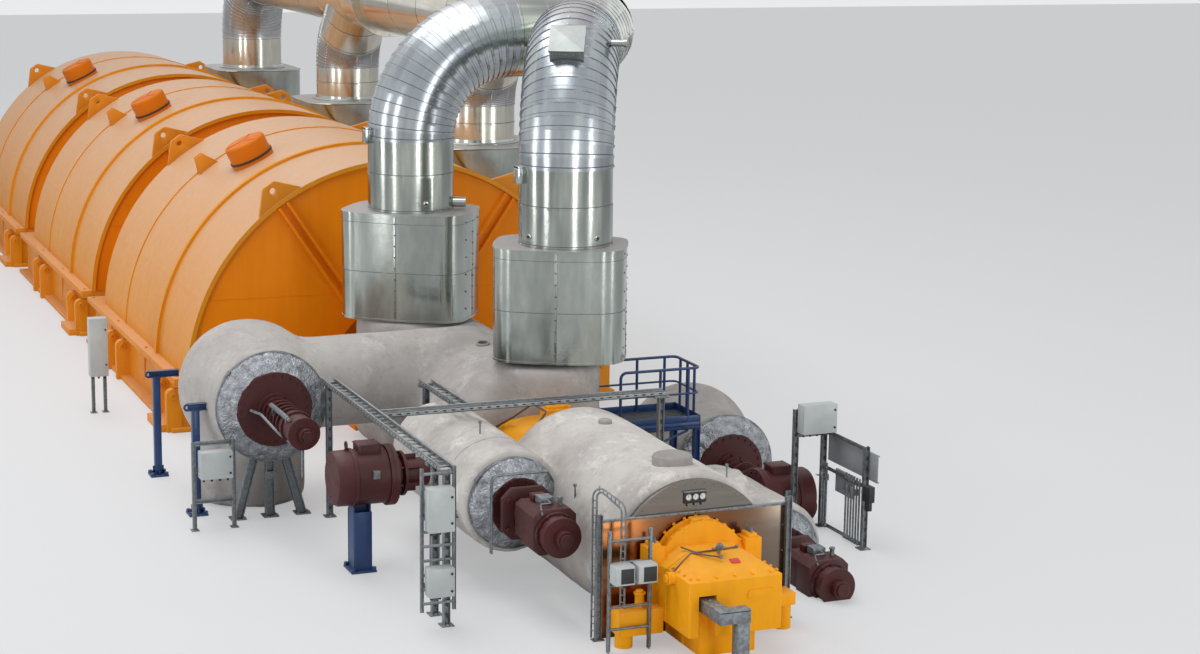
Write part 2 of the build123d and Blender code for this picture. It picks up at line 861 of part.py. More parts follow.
# Bearings and coupling covers along the shaft
with BuildPart() as mid_high_bearing:
    disc_x(bearing_rear_x, high_rear_x, 0, shaft_z, bearing_radius)
    for x in (bearing_rear_x + 0.25 * bearing_block, bearing_rear_x + 2 * bearing_block):
        block(x, x + bearing_block, -bearing_block / 2, bearing_block, shaft_z, shaft_z + bearing_block_rise)
    add(mid_solid, mode=Mode.SUBTRACT)
    split(bisect_by=Plane.XY, keep=Keep.TOP)
keep("mid_high_bearing", mid_high_bearing.part)


def make_end_bearing(bay_x, outer_x, base_x, pedestal_x):
    """Round bearing cover out of a hood's bay, on a pedestal beside the base."""
    with BuildPart() as bearing:
        disc_x(bay_x, outer_x, 0, shaft_z, bay_boss_radius)
        split(bisect_by=Plane.XY.offset(joint_z), keep=Keep.TOP)
        block(min(base_x, pedestal_x), max(base_x, pedestal_x), -pedestal_half_width, pedestal_half_width,
              0, joint_z)
    return bearing.part


low_front_face = low1_x + hood_length / 2
low_front_base = low1_x + base_shift + base_length / 2
keep("low_mid_bearing", make_end_bearing(low_front_face - bay_depth, mid_rear_x, low_front_base, mid_rear_x))

with BuildPart() as coupling_covers:
    for number in range(low_count - 1):
        disc_x(low_x(number + 1) + hood_length / 2 - bay_depth, low_x(number) - hood_length / 2 + bay_depth,
               0, shaft_z, bay_boss_radius)
    split(bisect_by=Plane.XY.offset(joint_z), keep=Keep.TOP)
keep("coupling_covers", coupling_covers.part)

last_face = last_x - hood_length / 2
last_base = last_x + base_shift - base_length / 2
rear_pedestal_x = last_base - rear_pedestal_length
keep("rear_bearing", make_end_bearing(last_face + bay_depth, rear_pedestal_x, last_base, rear_pedestal_x))

with BuildPart() as rotor_coupling:
    flange_x = rear_pedestal_x - rotor_stub
    disc_x(flange_x, rear_pedestal_x, 0, shaft_z, shaft_radius)
    disc_x(flange_x - flange_thickness, flange_x, 0, shaft_z, flange_radius)
    with BuildSketch(Plane.YZ.offset(flange_x - flange_thickness)):
        with Locations((0, shaft_z)):
            with PolarLocations(flange_pitch_radius, flange_bolts):
                Circle(flange_hole_radius)
    extrude(amount=flange_thickness, mode=Mode.SUBTRACT)
keep("rotor_coupling", rotor_coupling.part)

# Front end: end plate, gauge panel and screen wall
screen_x = high_front_x + screen_gap
with BuildPart() as high_end_plate:
    disc_x(high_front_x, screen_x, 0, shaft_z, high_radius - hood_rim)
    split(bisect_by=Plane.XY, keep=Keep.TOP)
keep("high_end_plate", high_end_plate.part)

with BuildPart() as gauge_plate:
    z = screen_top + gauge_panel / 3
    block(screen_x, screen_x + screen_thickness, -gauge_panel / 2, gauge_panel / 2, z, z + gauge_panel / 2)
keep("gauge_panel", gauge_plate.part)

with BuildPart() as front_screen:
    block(screen_x, screen_x + screen_thickness, -screen_half_width, screen_half_width, 0, screen_top)
    block(screen_x, screen_x + screen_post / 2, -screen_half_width, screen_half_width,
          screen_top - screen_post / 2, screen_top)
    for side in (-1, 1):
        y = side * (screen_half_width + screen_post / 2)
        block(screen_x, screen_x + screen_post, y - screen_post / 2, y + screen_post / 2,
              0, screen_top + screen_post)
screen_solid = keep("front_screen", front_screen.part)

# Front pedestal: a housing with a hipped lid, a notch for the duct and a raised pad
pedestal_front = front_pedestal_x + front_pedestal_length
half = front_pedestal_half
with BuildPart() as front_pedestal:
    with BuildSketch(Plane.XZ.offset(half)):
        with BuildLine():
            Polyline((front_pedestal_x, front_pedestal_bottom), (pedestal_front, front_pedestal_bottom),
                     (pedestal_front, front_pedestal_eave),
                     (front_pedestal_x + ridge_setback, front_pedestal_ridge),
                     (front_pedestal_x, front_pedestal_ridge), close=True)
        make_face()
    extrude(amount=-2 * half)
    for side in (-1, 1):
        with BuildSketch(Plane.YZ.offset(front_pedestal_x)):
            with BuildLine():
                Polyline((side * half, front_pedestal_eave), (side * half, front_pedestal_ridge),
                         (side * (half - roof_hip), front_pedestal_ridge), close=True)
            make_face()
        extrude(amount=front_pedestal_length, mode=Mode.SUBTRACT)
    fillet(front_pedestal.edges().filter_by(Axis.Z).group_by(Axis.X)[-1], ladder_rung)
    block(pedestal_front - notch_depth, pedestal_front, notch_y, notch_y + notch_width,
          front_pedestal_bottom, notch_top, Mode.SUBTRACT)
    block(pedestal_front, pedestal_front + screen_thickness, face_pad_y, face_pad_y + face_pad,
          notch_top - screen_post, notch_top)
    block(front_pedestal_x, pedestal_front - notch_depth, -plinth_half, plinth_half, 0, front_pedestal_bottom)
    disc_y(-half - screen_post, -half, front_pedestal_x + front_pedestal_length / 3,
           front_pedestal_eave - 2 * screen_thickness, screen_post)
keep("front_pedestal", front_pedestal.part)

# Bearing behind it: a bolted round cap between two flanges, side blocks, and wings on round feet
with BuildPart() as pedestal_rear:
    x0 = screen_x + screen_thickness + seat
    step_x = x0 + cap_cover_length
    block(x0, front_pedestal_x, -half, half, front_pedestal_bottom, shaft_z)
    block(x0, front_pedestal_x, -plinth_half, plinth_half, 0, front_pedestal_bottom)
    disc_x(x0, step_x, 0, shaft_z, cap_cover_radius)
    for x in (x0 + cap_flange, step_x - cap_flange):
        disc_x(x, x + cap_flange, 0, shaft_z, cap_cover_radius + cap_flange_lip)
    with BuildSketch(Plane.YZ.offset(step_x)):
        with BuildLine():
            Polyline((-step_cover_half, shaft_z), (step_cover_half, shaft_z),
                     (step_cover_half, front_pedestal_eave), (step_cover_top_half, front_pedestal_ridge),
                     (-step_cover_top_half, front_pedestal_ridge),
                     (-step_cover_half, front_pedestal_eave), close=True)
        make_face()
    extrude(amount=front_pedestal_x - step_x)
    for side in (-1, 1):
        y0, y1 = sorted((side * (half - screen_post), side * (half - screen_post + side_block)))
        block(x0 + screen_post, step_x + screen_post, y0, y1, shaft_z, shaft_z + side_block_rise)
        y0, y1 = sorted((side * half, side * (half + wing_reach)))
        block(step_x - screen_post, front_pedestal_x - screen_post, y0, y1,
              wing_top - wing_thickness, wing_top)
        disc_z(0, wing_top, (step_x + front_pedestal_x) / 2 - screen_post,
               side * (half + wing_reach - wing_foot_radius), wing_foot_radius)
    block(step_x - screen_post, front_pedestal_x - screen_post, -half - wing_reach, -half,
          wing_top - 2 * wing_thickness, wing_top)
    add(screen_solid, mode=Mode.SUBTRACT)
keep("pedestal_rear", pedestal_rear.part)

with BuildPart() as front_duct:
    y = notch_y + (notch_width - duct_size) / 2
    top = notch_top - ladder_rung
    block(pedestal_front - notch_depth, pedestal_front + duct_reach, y, y + duct_size, top - duct_size, top)
    block(pedestal_front + duct_reach - duct_size, pedestal_front + duct_reach, y, y + duct_turn,
          top - duct_size, top)
    block(pedestal_front + duct_reach - duct_size, pedestal_front + duct_reach, y + duct_turn - duct_size,
          y + duct_turn, 0, top - duct_size)
keep("front_duct", front_duct.part)

# Ladder with two gauge boxes on a rail, and a handrail arch, at the front left
ladder_x = front_pedestal_x - screen_post + ladder_rung + seat
ladder_y1 = -half - wing_reach + wing_foot_radius + ladder_side
ladder_y0 = ladder_y1 - ladder_width
with BuildPart() as front_ladder:
    for y in (ladder_y0, ladder_y1 - ladder_side):
        block(ladder_x - ladder_rung, ladder_x + ladder_rung, y, y + ladder_side, 0, screen_top)
    for rung in range(1, ladder_rungs + 1):
        z = rung * screen_top / (ladder_rungs + 0.5)
        block(ladder_x - ladder_rung / 2, ladder_x + ladder_rung / 2, ladder_y0, ladder_y1,
              z, z + ladder_rung)
    block(ladder_x, ladder_x + ladder_rung, ladder_y0, ladder_y0 + 2 * gauge_box + 2 * ladder_rung,
          gauge_box_z + ladder_side, gauge_box_z + 2 * ladder_side)
keep("front_ladder", front_ladder.part)

with BuildPart() as gauge_boxes:
    for y in (ladder_y0, ladder_y0 + gauge_box + ladder_rung):
        block(ladder_x + ladder_rung, ladder_x + ladder_rung + box_depth, y, y + gauge_box,
              gauge_box_z, gauge_box_z + gauge_box_height)
keep("gauge_boxes", gauge_boxes.part)

with BuildPart() as handrail_arch:
    x0 = screen_x + screen_post + arch_radius + seat
    y = -screen_half_width - screen_post / 2
    corners = [(x0, y, 0), (x0, y, arch_top), (x0 + arch_length, y, arch_top), (x0 + arch_length, y, 0)]
    add(bent_bar(corners, arch_bend, arch_radius))
keep("handrail_arch", handrail_arch.part)

# Blue access platform beside the casings
deck_y0 = mid_radius + seat
deck_y1 = deck_y0 + deck_width
with BuildPart() as platform_deck:
    block(deck_x0, deck_x1, deck_y0, deck_y1, deck_z - deck_thickness, deck_z)
keep("platform_deck", platform_deck.part)

with BuildPart() as platform_posts:
    for x in (deck_x0, deck_x1 - blue_post):
        for y in (deck_y0, deck_y1 - blue_post):
            block(x, x + blue_post, y, y + blue_post, 0, deck_z - deck_thickness)
keep("platform_posts", platform_posts.part)

with BuildPart() as platform_railings:
    top = deck_z + rail_height
    for x in (deck_x0, deck_x1 - rail_size):
        for y in (deck_y0, (deck_y0 + deck_y1 - rail_size) / 2, deck_y1 - rail_size):
            block(x, x + rail_size, y, y + rail_size, deck_z, top)
        for z in (deck_z + rail_height / 2, top - rail_size):
            block(x, x + rail_size, deck_y0, deck_y1, z, z + rail_size)
        block(x + rail_size / 3, x + 2 * rail_size / 3, deck_y0, deck_y1, deck_z, deck_z + toe_height)
    for z in (deck_z + rail_height / 2, top - rail_size):
        block(deck_x0, deck_x1, deck_y1 - rail_size, deck_y1, z, z + rail_size)
    block(deck_x0, deck_x1, deck_y1 - 2 * rail_size / 3, deck_y1 - rail_size / 3, deck_z, deck_z + toe_height)
keep("platform_railings", platform_railings.part)

# Galvanised cable trays on posts, and the cable ladder that drops from the left one
tray_bottom = tray_top - tray_depth
side = tray_width / 2
tray_runs = (
    (left_tray_x0, left_tray_x1, left_tray_y - side, left_tray_y + side),
    (cross_tray_x - side, cross_tray_x + side, left_tray_y, cross_tray_y1),
    (short_tray_x0, cross_tray_x, short_tray_y - side, short_tray_y + side),
)
with BuildPart() as cable_trays:
    for x0, x1, y0, y1 in tray_runs:
        block(x0, x1, y0, y1, tray_bottom, tray_top)
    for x0, x1, y0, y1 in tray_runs:
        along_x = x1 - x0 > y1 - y0
        inset_x, inset_y = (0, tray_wall) if along_x else (tray_wall, 0)
        block(x0 + inset_x, x1 - inset_x, y0 + inset_y, y1 - inset_y, tray_bottom + tray_wall, tray_top,
              Mode.SUBTRACT)
keep("cable_trays", cable_trays.part)

with BuildPart() as tray_posts:
    for x, y in ((left_tray_x0, left_tray_y), (left_tray_x1 - tray_post, left_tray_y),
                 (left_tray_x1 - cable_ladder_width - tray_post, left_tray_y),
                 (cross_tray_x, cross_tray_y1 - tray_post), (short_tray_x0, short_tray_y)):
        block(x, x + tray_post, y - tray_post / 2, y + tray_post / 2, 0, tray_bottom)
keep("tray_posts", tray_posts.part)

ladder_end = left_tray_x1
drop_y0 = left_tray_y - side - cable_ladder_width + tray_width
with BuildPart() as cable_ladder:
    for y in (drop_y0, drop_y0 + cable_ladder_width - cable_ladder_bar):
        block(ladder_end, ladder_end + cable_ladder_bar, y, y + cable_ladder_bar, cable_ladder_z0, tray_top)
    for rung in range(cable_ladder_rungs):
        z = cable_ladder_z0 + (rung + 0.5) * (tray_top - cable_ladder_z0) / cable_ladder_rungs
        block(ladder_end, ladder_end + cable_ladder_bar, drop_y0, drop_y0 + cable_ladder_width,
              z, z + cable_ladder_bar)
keep("cable_ladder", cable_ladder.part)

# Switch boxes: by the left valve, on the cable ladder, beside the first hood and on the rack
with BuildPart() as switch_boxes:
    block(valve_box_x + stand_bar / 2, valve_box_x + stand_bar / 2 + box_depth, valve_box_y0 + stand_bar,
          valve_box_y1 - stand_bar, valve_box_z0, valve_box_z1)
    for z0, z1 in tray_box_bands:
        block(ladder_end + cable_ladder_bar, ladder_end + cable_ladder_bar + box_depth,
              drop_y0 + cable_ladder_bar, drop_y0 + cable_ladder_bar + tray_box_width, z0, z1)
    block(cabinet_x - box_depth / 2, cabinet_x + box_depth / 2, cabinet_y - cabinet_width / 2,
          cabinet_y + cabinet_width / 2, cabinet_z0, cabinet_z1)
    block(rack_box_x + rack_post / 2, rack_box_x + rack_post / 2 + box_depth,
          rack_box_y, rack_box_y + rack_box_width, rack_box_z0, rack_box_z1)
keep("switch_boxes", switch_boxes.part)

with BuildPart() as box_stands:
    for y in (valve_box_y0, valve_box_y1):
        block(valve_box_x - stand_bar / 2, valve_box_x + stand_bar / 2, y - stand_bar / 2, y + stand_bar / 2,
              0, valve_stand_top)
    for z in (valve_box_z0 / 2, valve_box_z0 + stand_bar, valve_stand_top - stand_bar):
        block(valve_box_x - stand_bar / 2, valve_box_x + stand_bar / 2, valve_box_y0, valve_box_y1,
              z, z + stand_bar)
    for y in (cabinet_y - cabinet_width / 2 + stand_bar, cabinet_y + cabinet_width / 2 - stand_bar):
        block(cabinet_x - stand_bar / 2, cabinet_x + stand_bar / 2, y - stand_bar / 2, y + stand_bar / 2,
              0, cabinet_z0)
keep("box_stands", box_stands.part)

with BuildPart() as blue_posts:
    for x, y, height in support_posts:
        block(x - support_size / 2, x + support_size / 2, y - support_size / 2, y + support_size / 2,
              0, height)
        block(x - support_size / 2, x + support_size / 2, y - support_arm / 3, y + 2 * support_arm / 3,
              height - support_arm_height, height)
        block(x - support_foot / 2, x + support_foot / 2, y - support_foot / 2, y + support_foot / 2,
              0, foot_plate)
    for neighbour in (mid_left_valve, left_chest):
        add(neighbour, mode=Mode.SUBTRACT)
keep("blue_posts", blue_posts.part)

# Instrument rack on the right
rail_half = rack_rail / 2
with BuildPart() as right_rack:
    for x, y, top in ((rack_x0, rack_y, rack_top), (rack_x1, rack_y, rack_top),
                      (rack_box_x, rack_box_y, rack_box_post)):
        block(x - rack_post / 2, x + rack_post / 2, y - rack_post / 2, y + rack_post / 2, 0, top)
        block(x - rack_post, x + rack_post, y - rack_post, y + rack_post, 0, foot_plate)
    for z in (rack_low_z, rack_mid_z, rack_top - rack_rail):
        block(rack_x0, rack_x1, rack_y - rail_half, rack_y + rail_half, z, z + rack_rail)
    block(rack_box_x - rail_half, rack_box_x + rail_half, rack_box_y, rack_y, rack_top - rack_rail, rack_top)
keep("right_rack", right_rack.part)

with BuildPart() as rack_panels:
    face_y = rack_y + rack_post / 2 + seat
    block(rack_x0 + rack_post, rack_x1 + rack_panel_overhang, face_y, face_y + rack_plate,
          rack_panel_z, rack_panel_z + rack_panel_height)
    face_y = rack_y + rail_half + seat
    block(low_panel_x0, low_panel_x1, face_y, face_y + rack_plate, low_panel_z, rack_mid_z + rack_rail)
keep("rack_panels", rack_panels.part)

with BuildPart() as rack_tubes:
    for start, count in tube_runs:
        for index in range(count):
            disc_z(rack_low_z, rack_mid_z + 2 * rack_rail, start + tube_pitch * index,
                   rack_y - rail_half - tube_radius - seat, tube_radius)
keep("rack_tubes", rack_tubes.part)

os.makedirs("parts", exist_ok=True)
for name, shape in PIECES.items():
    export_step(shape, f"parts/{name}.step")
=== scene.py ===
# %% [markdown]
# A steam turbine set is a row of casings on one shaft. The CAD frame already holds every casing, pipe and
# bracket at its real place, so this script only dresses it: it gives each piece its finish, and it builds
# finer shells where the real surface is wrapped, crumpled, plastered or bolted.
# Everything is in metres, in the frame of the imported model: X along the shaft, Z up, the floor at 0.

# %% Load the frame
import random
from math import acos, cos, degrees, pi, radians, sin, sqrt, tan

import bmesh
import bpy
from mathutils import Matrix, Vector, noise
from mathutils.bvhtree import BVHTree


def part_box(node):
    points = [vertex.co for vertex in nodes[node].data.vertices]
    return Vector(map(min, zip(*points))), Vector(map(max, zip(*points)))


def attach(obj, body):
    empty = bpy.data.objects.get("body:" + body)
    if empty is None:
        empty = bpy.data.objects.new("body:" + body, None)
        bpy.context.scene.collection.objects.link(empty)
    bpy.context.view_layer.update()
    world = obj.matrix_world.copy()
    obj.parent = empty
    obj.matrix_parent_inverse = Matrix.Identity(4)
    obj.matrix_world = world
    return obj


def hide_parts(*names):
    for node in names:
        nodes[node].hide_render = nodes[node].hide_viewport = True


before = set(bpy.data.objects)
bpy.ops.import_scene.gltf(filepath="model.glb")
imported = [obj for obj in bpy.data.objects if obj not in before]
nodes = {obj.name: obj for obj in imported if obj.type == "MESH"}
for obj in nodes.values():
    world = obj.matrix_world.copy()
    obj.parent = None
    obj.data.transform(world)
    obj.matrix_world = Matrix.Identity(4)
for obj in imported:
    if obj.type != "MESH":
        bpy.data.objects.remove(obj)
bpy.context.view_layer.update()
random.seed(7)
print("CAD nodes:", len(nodes))

# %% [markdown]
# The camera stands high on the left of the front end. Its place and its turns were worked out from the
# straight edges of the set, so lines in the render run as they do in the picture. A camera object could be
# aimed with a constraint, but a matrix made from three angles says exactly where it looks.

# %% Camera
image_width, focal_px = 1200, 2294.5
camera_place = Vector((17.75, -6.33, 5.0))
yaw, pitch, roll = radians(22.62), radians(11.12), radians(0.79)


def in_scene(name, data):
    """New object, linked to the scene."""
    made = bpy.data.objects.new(name, data)
    bpy.context.scene.collection.objects.link(made)
    return made


def rise(height):
    """Vector that points up."""
    return Vector((0, 0, height))


def add_camera():
    """Camera from its place and three turns, with no shift."""
    forward = Vector((-cos(yaw) * cos(pitch), sin(yaw) * cos(pitch), -sin(pitch)))
    right = forward.cross(rise(1)).normalized()
    up = right.cross(forward)
    right, up = right * cos(roll) + up * sin(roll), up * cos(roll) - right * sin(roll)
    camera = in_scene("camera", bpy.data.cameras.new("camera"))
    camera.data.lens = focal_px / image_width * camera.data.sensor_width
    camera.data.clip_end = 200
    turn = Matrix((right, up, -forward)).transposed().to_4x4()
    camera.matrix_world = Matrix.Translation(camera_place) @ turn
    bpy.context.scene.camera = camera


add_camera()
print("camera at", camera_place)

# %% [markdown]
# Every finish is a small graph of procedural nodes on Object coordinates. Since each piece keeps the set's
# origin as its own, a stain or a streak stays where it is when the piece is looked at from another side.
# `put` adds one node and fills its sockets, which keeps the graphs below short enough to read.

# %% Helpers for finishes


def tone(red, green, blue):
    """Colour from the 0 to 255 values of a screen, as the shader wants it."""
    linear = [((value / 255 + 0.055) / 1.055) ** 2.4 if value > 10 else value / 3294
              for value in (red, green, blue)]
    return (*linear, 1)


def put(mat, kind, sockets=None, **settings):
    """Adds a node, sets its options, then fills or links its input sockets."""
    node = mat.node_tree.nodes.new("ShaderNode" + kind)
    for key, value in settings.items():
        setattr(node, key, value)
    for key, value in (sockets or {}).items():
        if isinstance(value, bpy.types.NodeSocket):
            mat.node_tree.links.new(value, node.inputs[key])
        else:
            node.inputs[key].default_value = value
    return node


def new_finish(name, metallic=0.0, roughness=0.5, coat=0.0):
    """Empty material with its shader, and the Object coordinates that its patterns read."""
    mat = bpy.data.materials.new(name)
    mat.use_nodes = True
    shader = mat.node_tree.nodes["Principled BSDF"]
    shader.inputs["Metallic"].default_value = metallic
    shader.inputs["Roughness"].default_value = roughness
    shader.inputs["Coat Weight"].default_value = coat
    place = put(mat, "TexCoord").outputs["Object"]
    return mat, shader, place


def clouds(mat, place, scale, detail=4.0, rough=0.55, stretch=None):
    """Soft noise from 0 to 1. A stretch makes streaks along one axis."""
    if stretch:
        place = put(mat, "Mapping", {"Vector": place, "Scale": stretch}).outputs[0]
    sockets = {"Vector": place, "Scale": scale, "Detail": detail, "Roughness": rough}
    return put(mat, "TexNoise", sockets).outputs["Fac"]


def ramp(mat, value, stops):
    """Colour ramp with (position, colour) stops."""
    node = put(mat, "ValToRGB", {"Fac": value})
    bands = node.color_ramp.elements
    while len(bands) < len(stops):
        bands.new(0.5)
    for band, (position, colour) in zip(bands, stops):
        band.position = position
        band.color = colour
    return node.outputs["Color"]


def spread(mat, value, low, high, start=0.3, end=0.7):
    """Maps a noise value to a range of numbers."""
    sockets = {"Value": value, "From Min": start, "From Max": end, "To Min": low, "To Max": high}
    return put(mat, "MapRange", sockets).outputs["Result"]


def times(mat, first, second):
    """Product of two values."""
    return put(mat, "Math", {0: first, 1: second}, operation="MULTIPLY").outputs[0]


def plus(mat, first, second):
    """Sum of two values."""
    return put(mat, "Math", {0: first, 1: second}, operation="ADD").outputs[0]


def axis_value(mat, vector, axis):
    """One coordinate of a vector."""
    return put(mat, "SeparateXYZ", {"Vector": vector}).outputs[axis]


def mix(mat, amount, first, second):
    """Mixes two colours."""
    return put(mat, "Mix", {0: amount, 6: first, 7: second}, data_type="RGBA").outputs[2]


def link(mat, output, shader, socket):
    """Joins an output to one of the shader's sockets."""
    mat.node_tree.links.new(output, shader.inputs[socket])


def bump(mat, height, shader, distance, strength=1.0, under=None):
    """Relief from a height value, stacked on another bump when one is given."""
    sockets = {"Height": height, "Distance": distance, "Strength": strength}
    if under is not None:
        sockets["Normal"] = under
    output = put(mat, "Bump", sockets).outputs["Normal"]
    link(mat, output, shader, "Normal")
    return output


def upward(mat):
    """How far a surface faces up, from its own normal."""
    return axis_value(mat, put(mat, "NewGeometry").outputs["Normal"], "Z")


# %% [markdown]
# Bright metal shows what stands round it. An upright pipe seen from above mirrors what is low on the horizon,
# so tall narrow lamps that reach down to the floor draw the pale bands along it, and the plain pale
# surroundings between them leave the grey. One wide lamp overhead lights the round tops. The camera doesn't
# see the lamps.

# %% Light and floor
floor_tone = (0.70, 0.70, 0.71, 1)
floor_glow = 0.45
backdrop_tone = (0.82, 0.83, 0.84, 1)
fill_tone = (0.84, 0.86, 0.88, 1)
fill_strength = 0.56
overhead_place, overhead_aim, overhead_size, overhead_power = (-4, -3, 14), (-4, 0, 0), (22, 7), 1400
strip_turns, strip_distance, strip_z, strip_size, strip_power = (-100, -66, 2, 40), 17, 4.3, (2.5, 8.5), 330
floor_middle_x, floor_drop, floor_half = -4, 0.001, 60


def add_panel_light(name, place, aim, size, power):
    """Rectangular lamp that looks at a point."""
    data = bpy.data.lights.new(name, "AREA")
    data.shape = "RECTANGLE"
    data.size, data.size_y = size
    data.energy = power
    lamp = in_scene(name, data)
    lamp.location = place
    lamp.rotation_euler = (Vector(aim) - Vector(place)).to_track_quat("-Z", "Y").to_euler()
    lamp.visible_camera = False


add_panel_light("overhead", overhead_place, overhead_aim, overhead_size, overhead_power)
for number, turn in enumerate(strip_turns):
    aim = rise(strip_z)
    way = Vector((cos(radians(turn)), sin(radians(turn)), 0))
    add_panel_light(f"strip_{number + 1}", aim + way * strip_distance, aim, strip_size, strip_power)


def make_world():
    """Pale for rays that see it, dimmer for the light it sheds."""
    world = bpy.data.worlds.new("hall")
    bpy.context.scene.world = world
    world.use_nodes = True
    rays = put(world, "LightPath").outputs
    seen = rays["Is Camera Ray"]
    for kind in ("Is Glossy Ray", "Is Transmission Ray"):
        seen = put(world, "Math", {0: seen, 1: rays[kind]}, operation="MAXIMUM").outputs[0]
    fill = put(world, "Background", {"Color": fill_tone, "Strength": fill_strength}).outputs[0]
    backdrop = put(world, "Background", {"Color": backdrop_tone}).outputs[0]
    choose = put(world, "MixShader", {0: seen, 1: fill, 2: backdrop})
    link(world, choose.outputs[0], world.node_tree.nodes["World Output"], "Surface")


def add_floor():
    """Wide pale floor under the set. It isn't part of the object."""
    mat, shader, _ = new_finish("floor", roughness=0.6)
    shader.inputs["Base Color"].default_value = floor_tone
    glow = put(mat, "Emission", {"Color": backdrop_tone}).outputs[0]
    share = times(mat, put(mat, "LightPath").outputs["Is Camera Ray"], floor_glow)
    blend = put(mat, "MixShader", {0: share, 1: shader.outputs[0], 2: glow})
    link(mat, blend.outputs[0], mat.node_tree.nodes["Material Output"], "Surface")
    mesh = bpy.data.meshes.new("floor")
    bm = bmesh.new()
    place = Matrix.Translation((floor_middle_x, 0, -floor_drop))
    bmesh.ops.create_grid(bm, x_segments=1, y_segments=1, size=floor_half, matrix=place)
    bm.to_mesh(mesh)
    bm.free()
    mesh.materials.append(mat)
    in_scene("floor", mesh)


make_world()
add_floor()
bpy.context.scene.view_settings.view_transform = "Standard"
print("lamps:", len(bpy.data.lights))

# %% [markdown]
# The orange enamel looks deep on the flat end walls, and pale and peachy where it curves up to the crown,
# where the glossy paint mirrors the pale hall. That pale look is a painted sheen, a painted reflection in the
# colour. Painting two colours by hand would look like two coats, so height along the skin drives the painted
# sheen, broken by soft clouds, with faint run marks below it.

# %% Orange enamel
hood_radius, hood_centre_z = 2.0, 0.425


def off_ribs(mat, place, film):
    """Takes the painted sheen off what stands above the hoods' skin and off the faces that look along the
    shaft.
    """
    moved = {"Vector": place, "Location": (0, 0, -hood_centre_z), "Scale": (0, 1, 1)}
    across = put(mat, "Mapping", moved).outputs[0]
    reach = put(mat, "VectorMath", {0: across}, operation="LENGTH").outputs["Value"]
    film = times(mat, film, spread(mat, reach, 1, 0, hood_radius + 0.002, hood_radius + 0.007))
    normal = axis_value(mat, put(mat, "NewGeometry").outputs["Normal"], "X")
    endwise = put(mat, "Math", {0: normal}, operation="ABSOLUTE").outputs[0]
    return times(mat, film, spread(mat, endwise, 1, 0, 0.3, 0.6))


def paint_orange(name, deep, pale, sheen_low, sheen_high, sheen_most, gloss, ribs=False, sheen_on_top=0.0):
    """Satin orange enamel with a painted pale sheen that thickens with height. Ribs and edges keep plain
    paint.
    """
    mat, shader, place = new_finish(name, roughness=0.42)
    shader.inputs["Specular IOR Level"].default_value = gloss
    cloud = clouds(mat, place, 0.9, 5)
    fine = clouds(mat, place, 14, 3)
    runs = clouds(mat, place, 3.5, 3, stretch=(3, 3, 0.35))
    body = mix(mat, spread(mat, cloud, 0, 1), deep, pale)
    body = mix(mat, spread(mat, runs, 0, 0.20), body, tone(196, 104, 8))
    # The film is a painted sheen: the pale hall's reflection, drawn into the colour by height and by faces
    # that look up.
    film = spread(mat, axis_value(mat, place, "Z"), 0, sheen_most, sheen_low, sheen_high)
    if ribs:
        film = off_ribs(mat, place, film)
    if sheen_on_top:
        film = plus(mat, film, spread(mat, upward(mat), 0, sheen_on_top, 0.7, 1.0))
    patchy = times(mat, film, spread(mat, cloud, 0.88, 1.05))
    # Pale peach colour of the painted sheen.
    body = mix(mat, patchy, body, tone(200, 166, 138))
    link(mat, body, shader, "Base Color")
    link(mat, spread(mat, fine, 0.38, 0.50), shader, "Roughness")
    low = bump(mat, cloud, shader, 0.02, 0.35)
    bump(mat, fine, shader, 0.0012, 0.4, low)
    return mat


enamel_skin = paint_orange("orange_skin", tone(220, 140, 10), tone(226, 149, 24), 0.55, 2.15, 0.84, 0.25,
                           ribs=True)
enamel_wall = paint_orange("orange_wall", tone(232, 126, 0), tone(240, 136, 2), 1.0, 3.4, 0.02, 0.12)
enamel_base = paint_orange("orange_base", tone(220, 134, 14), tone(228, 144, 26), 0.1, 1.2, 0.04, 0.2,
                           sheen_on_top=0.45)
enamel_front = paint_orange("orange_front", tone(255, 170, 6), tone(255, 180, 20), 0.2, 1.6, 0.03, 0.2,
                            sheen_on_top=0.10)
enamel_drum = paint_orange("orange_drum", tone(208, 106, 0), tone(216, 114, 2), 1.0, 3.4, 0.02, 0.12)
print("enamels:", enamel_skin.name, enamel_wall.name, enamel_base.name, enamel_front.name, enamel_drum.name)

# %% [markdown]
# The cladding is thin bright aluminium sheet. Rolling leaves soft streaks along it, and the same streaks
# carry painted reflection bands, grey to near white, as a pipe mirrors the hall; each sheet has its own
# slight tone.
# On a pipe the streaks follow the bend, so the mesh carries three attributes of its own: `lay` unrolls the
# pipe along its run, `course` holds one random number for each sheet, and `gore` marks the sheets of a bend,
# which are hammered by hand and so a little duller than the straight sleeves.

# %% Bright cladding
painted_warm_sheen, grey_sheet = tone(240, 232, 214), tone(108, 116, 122)


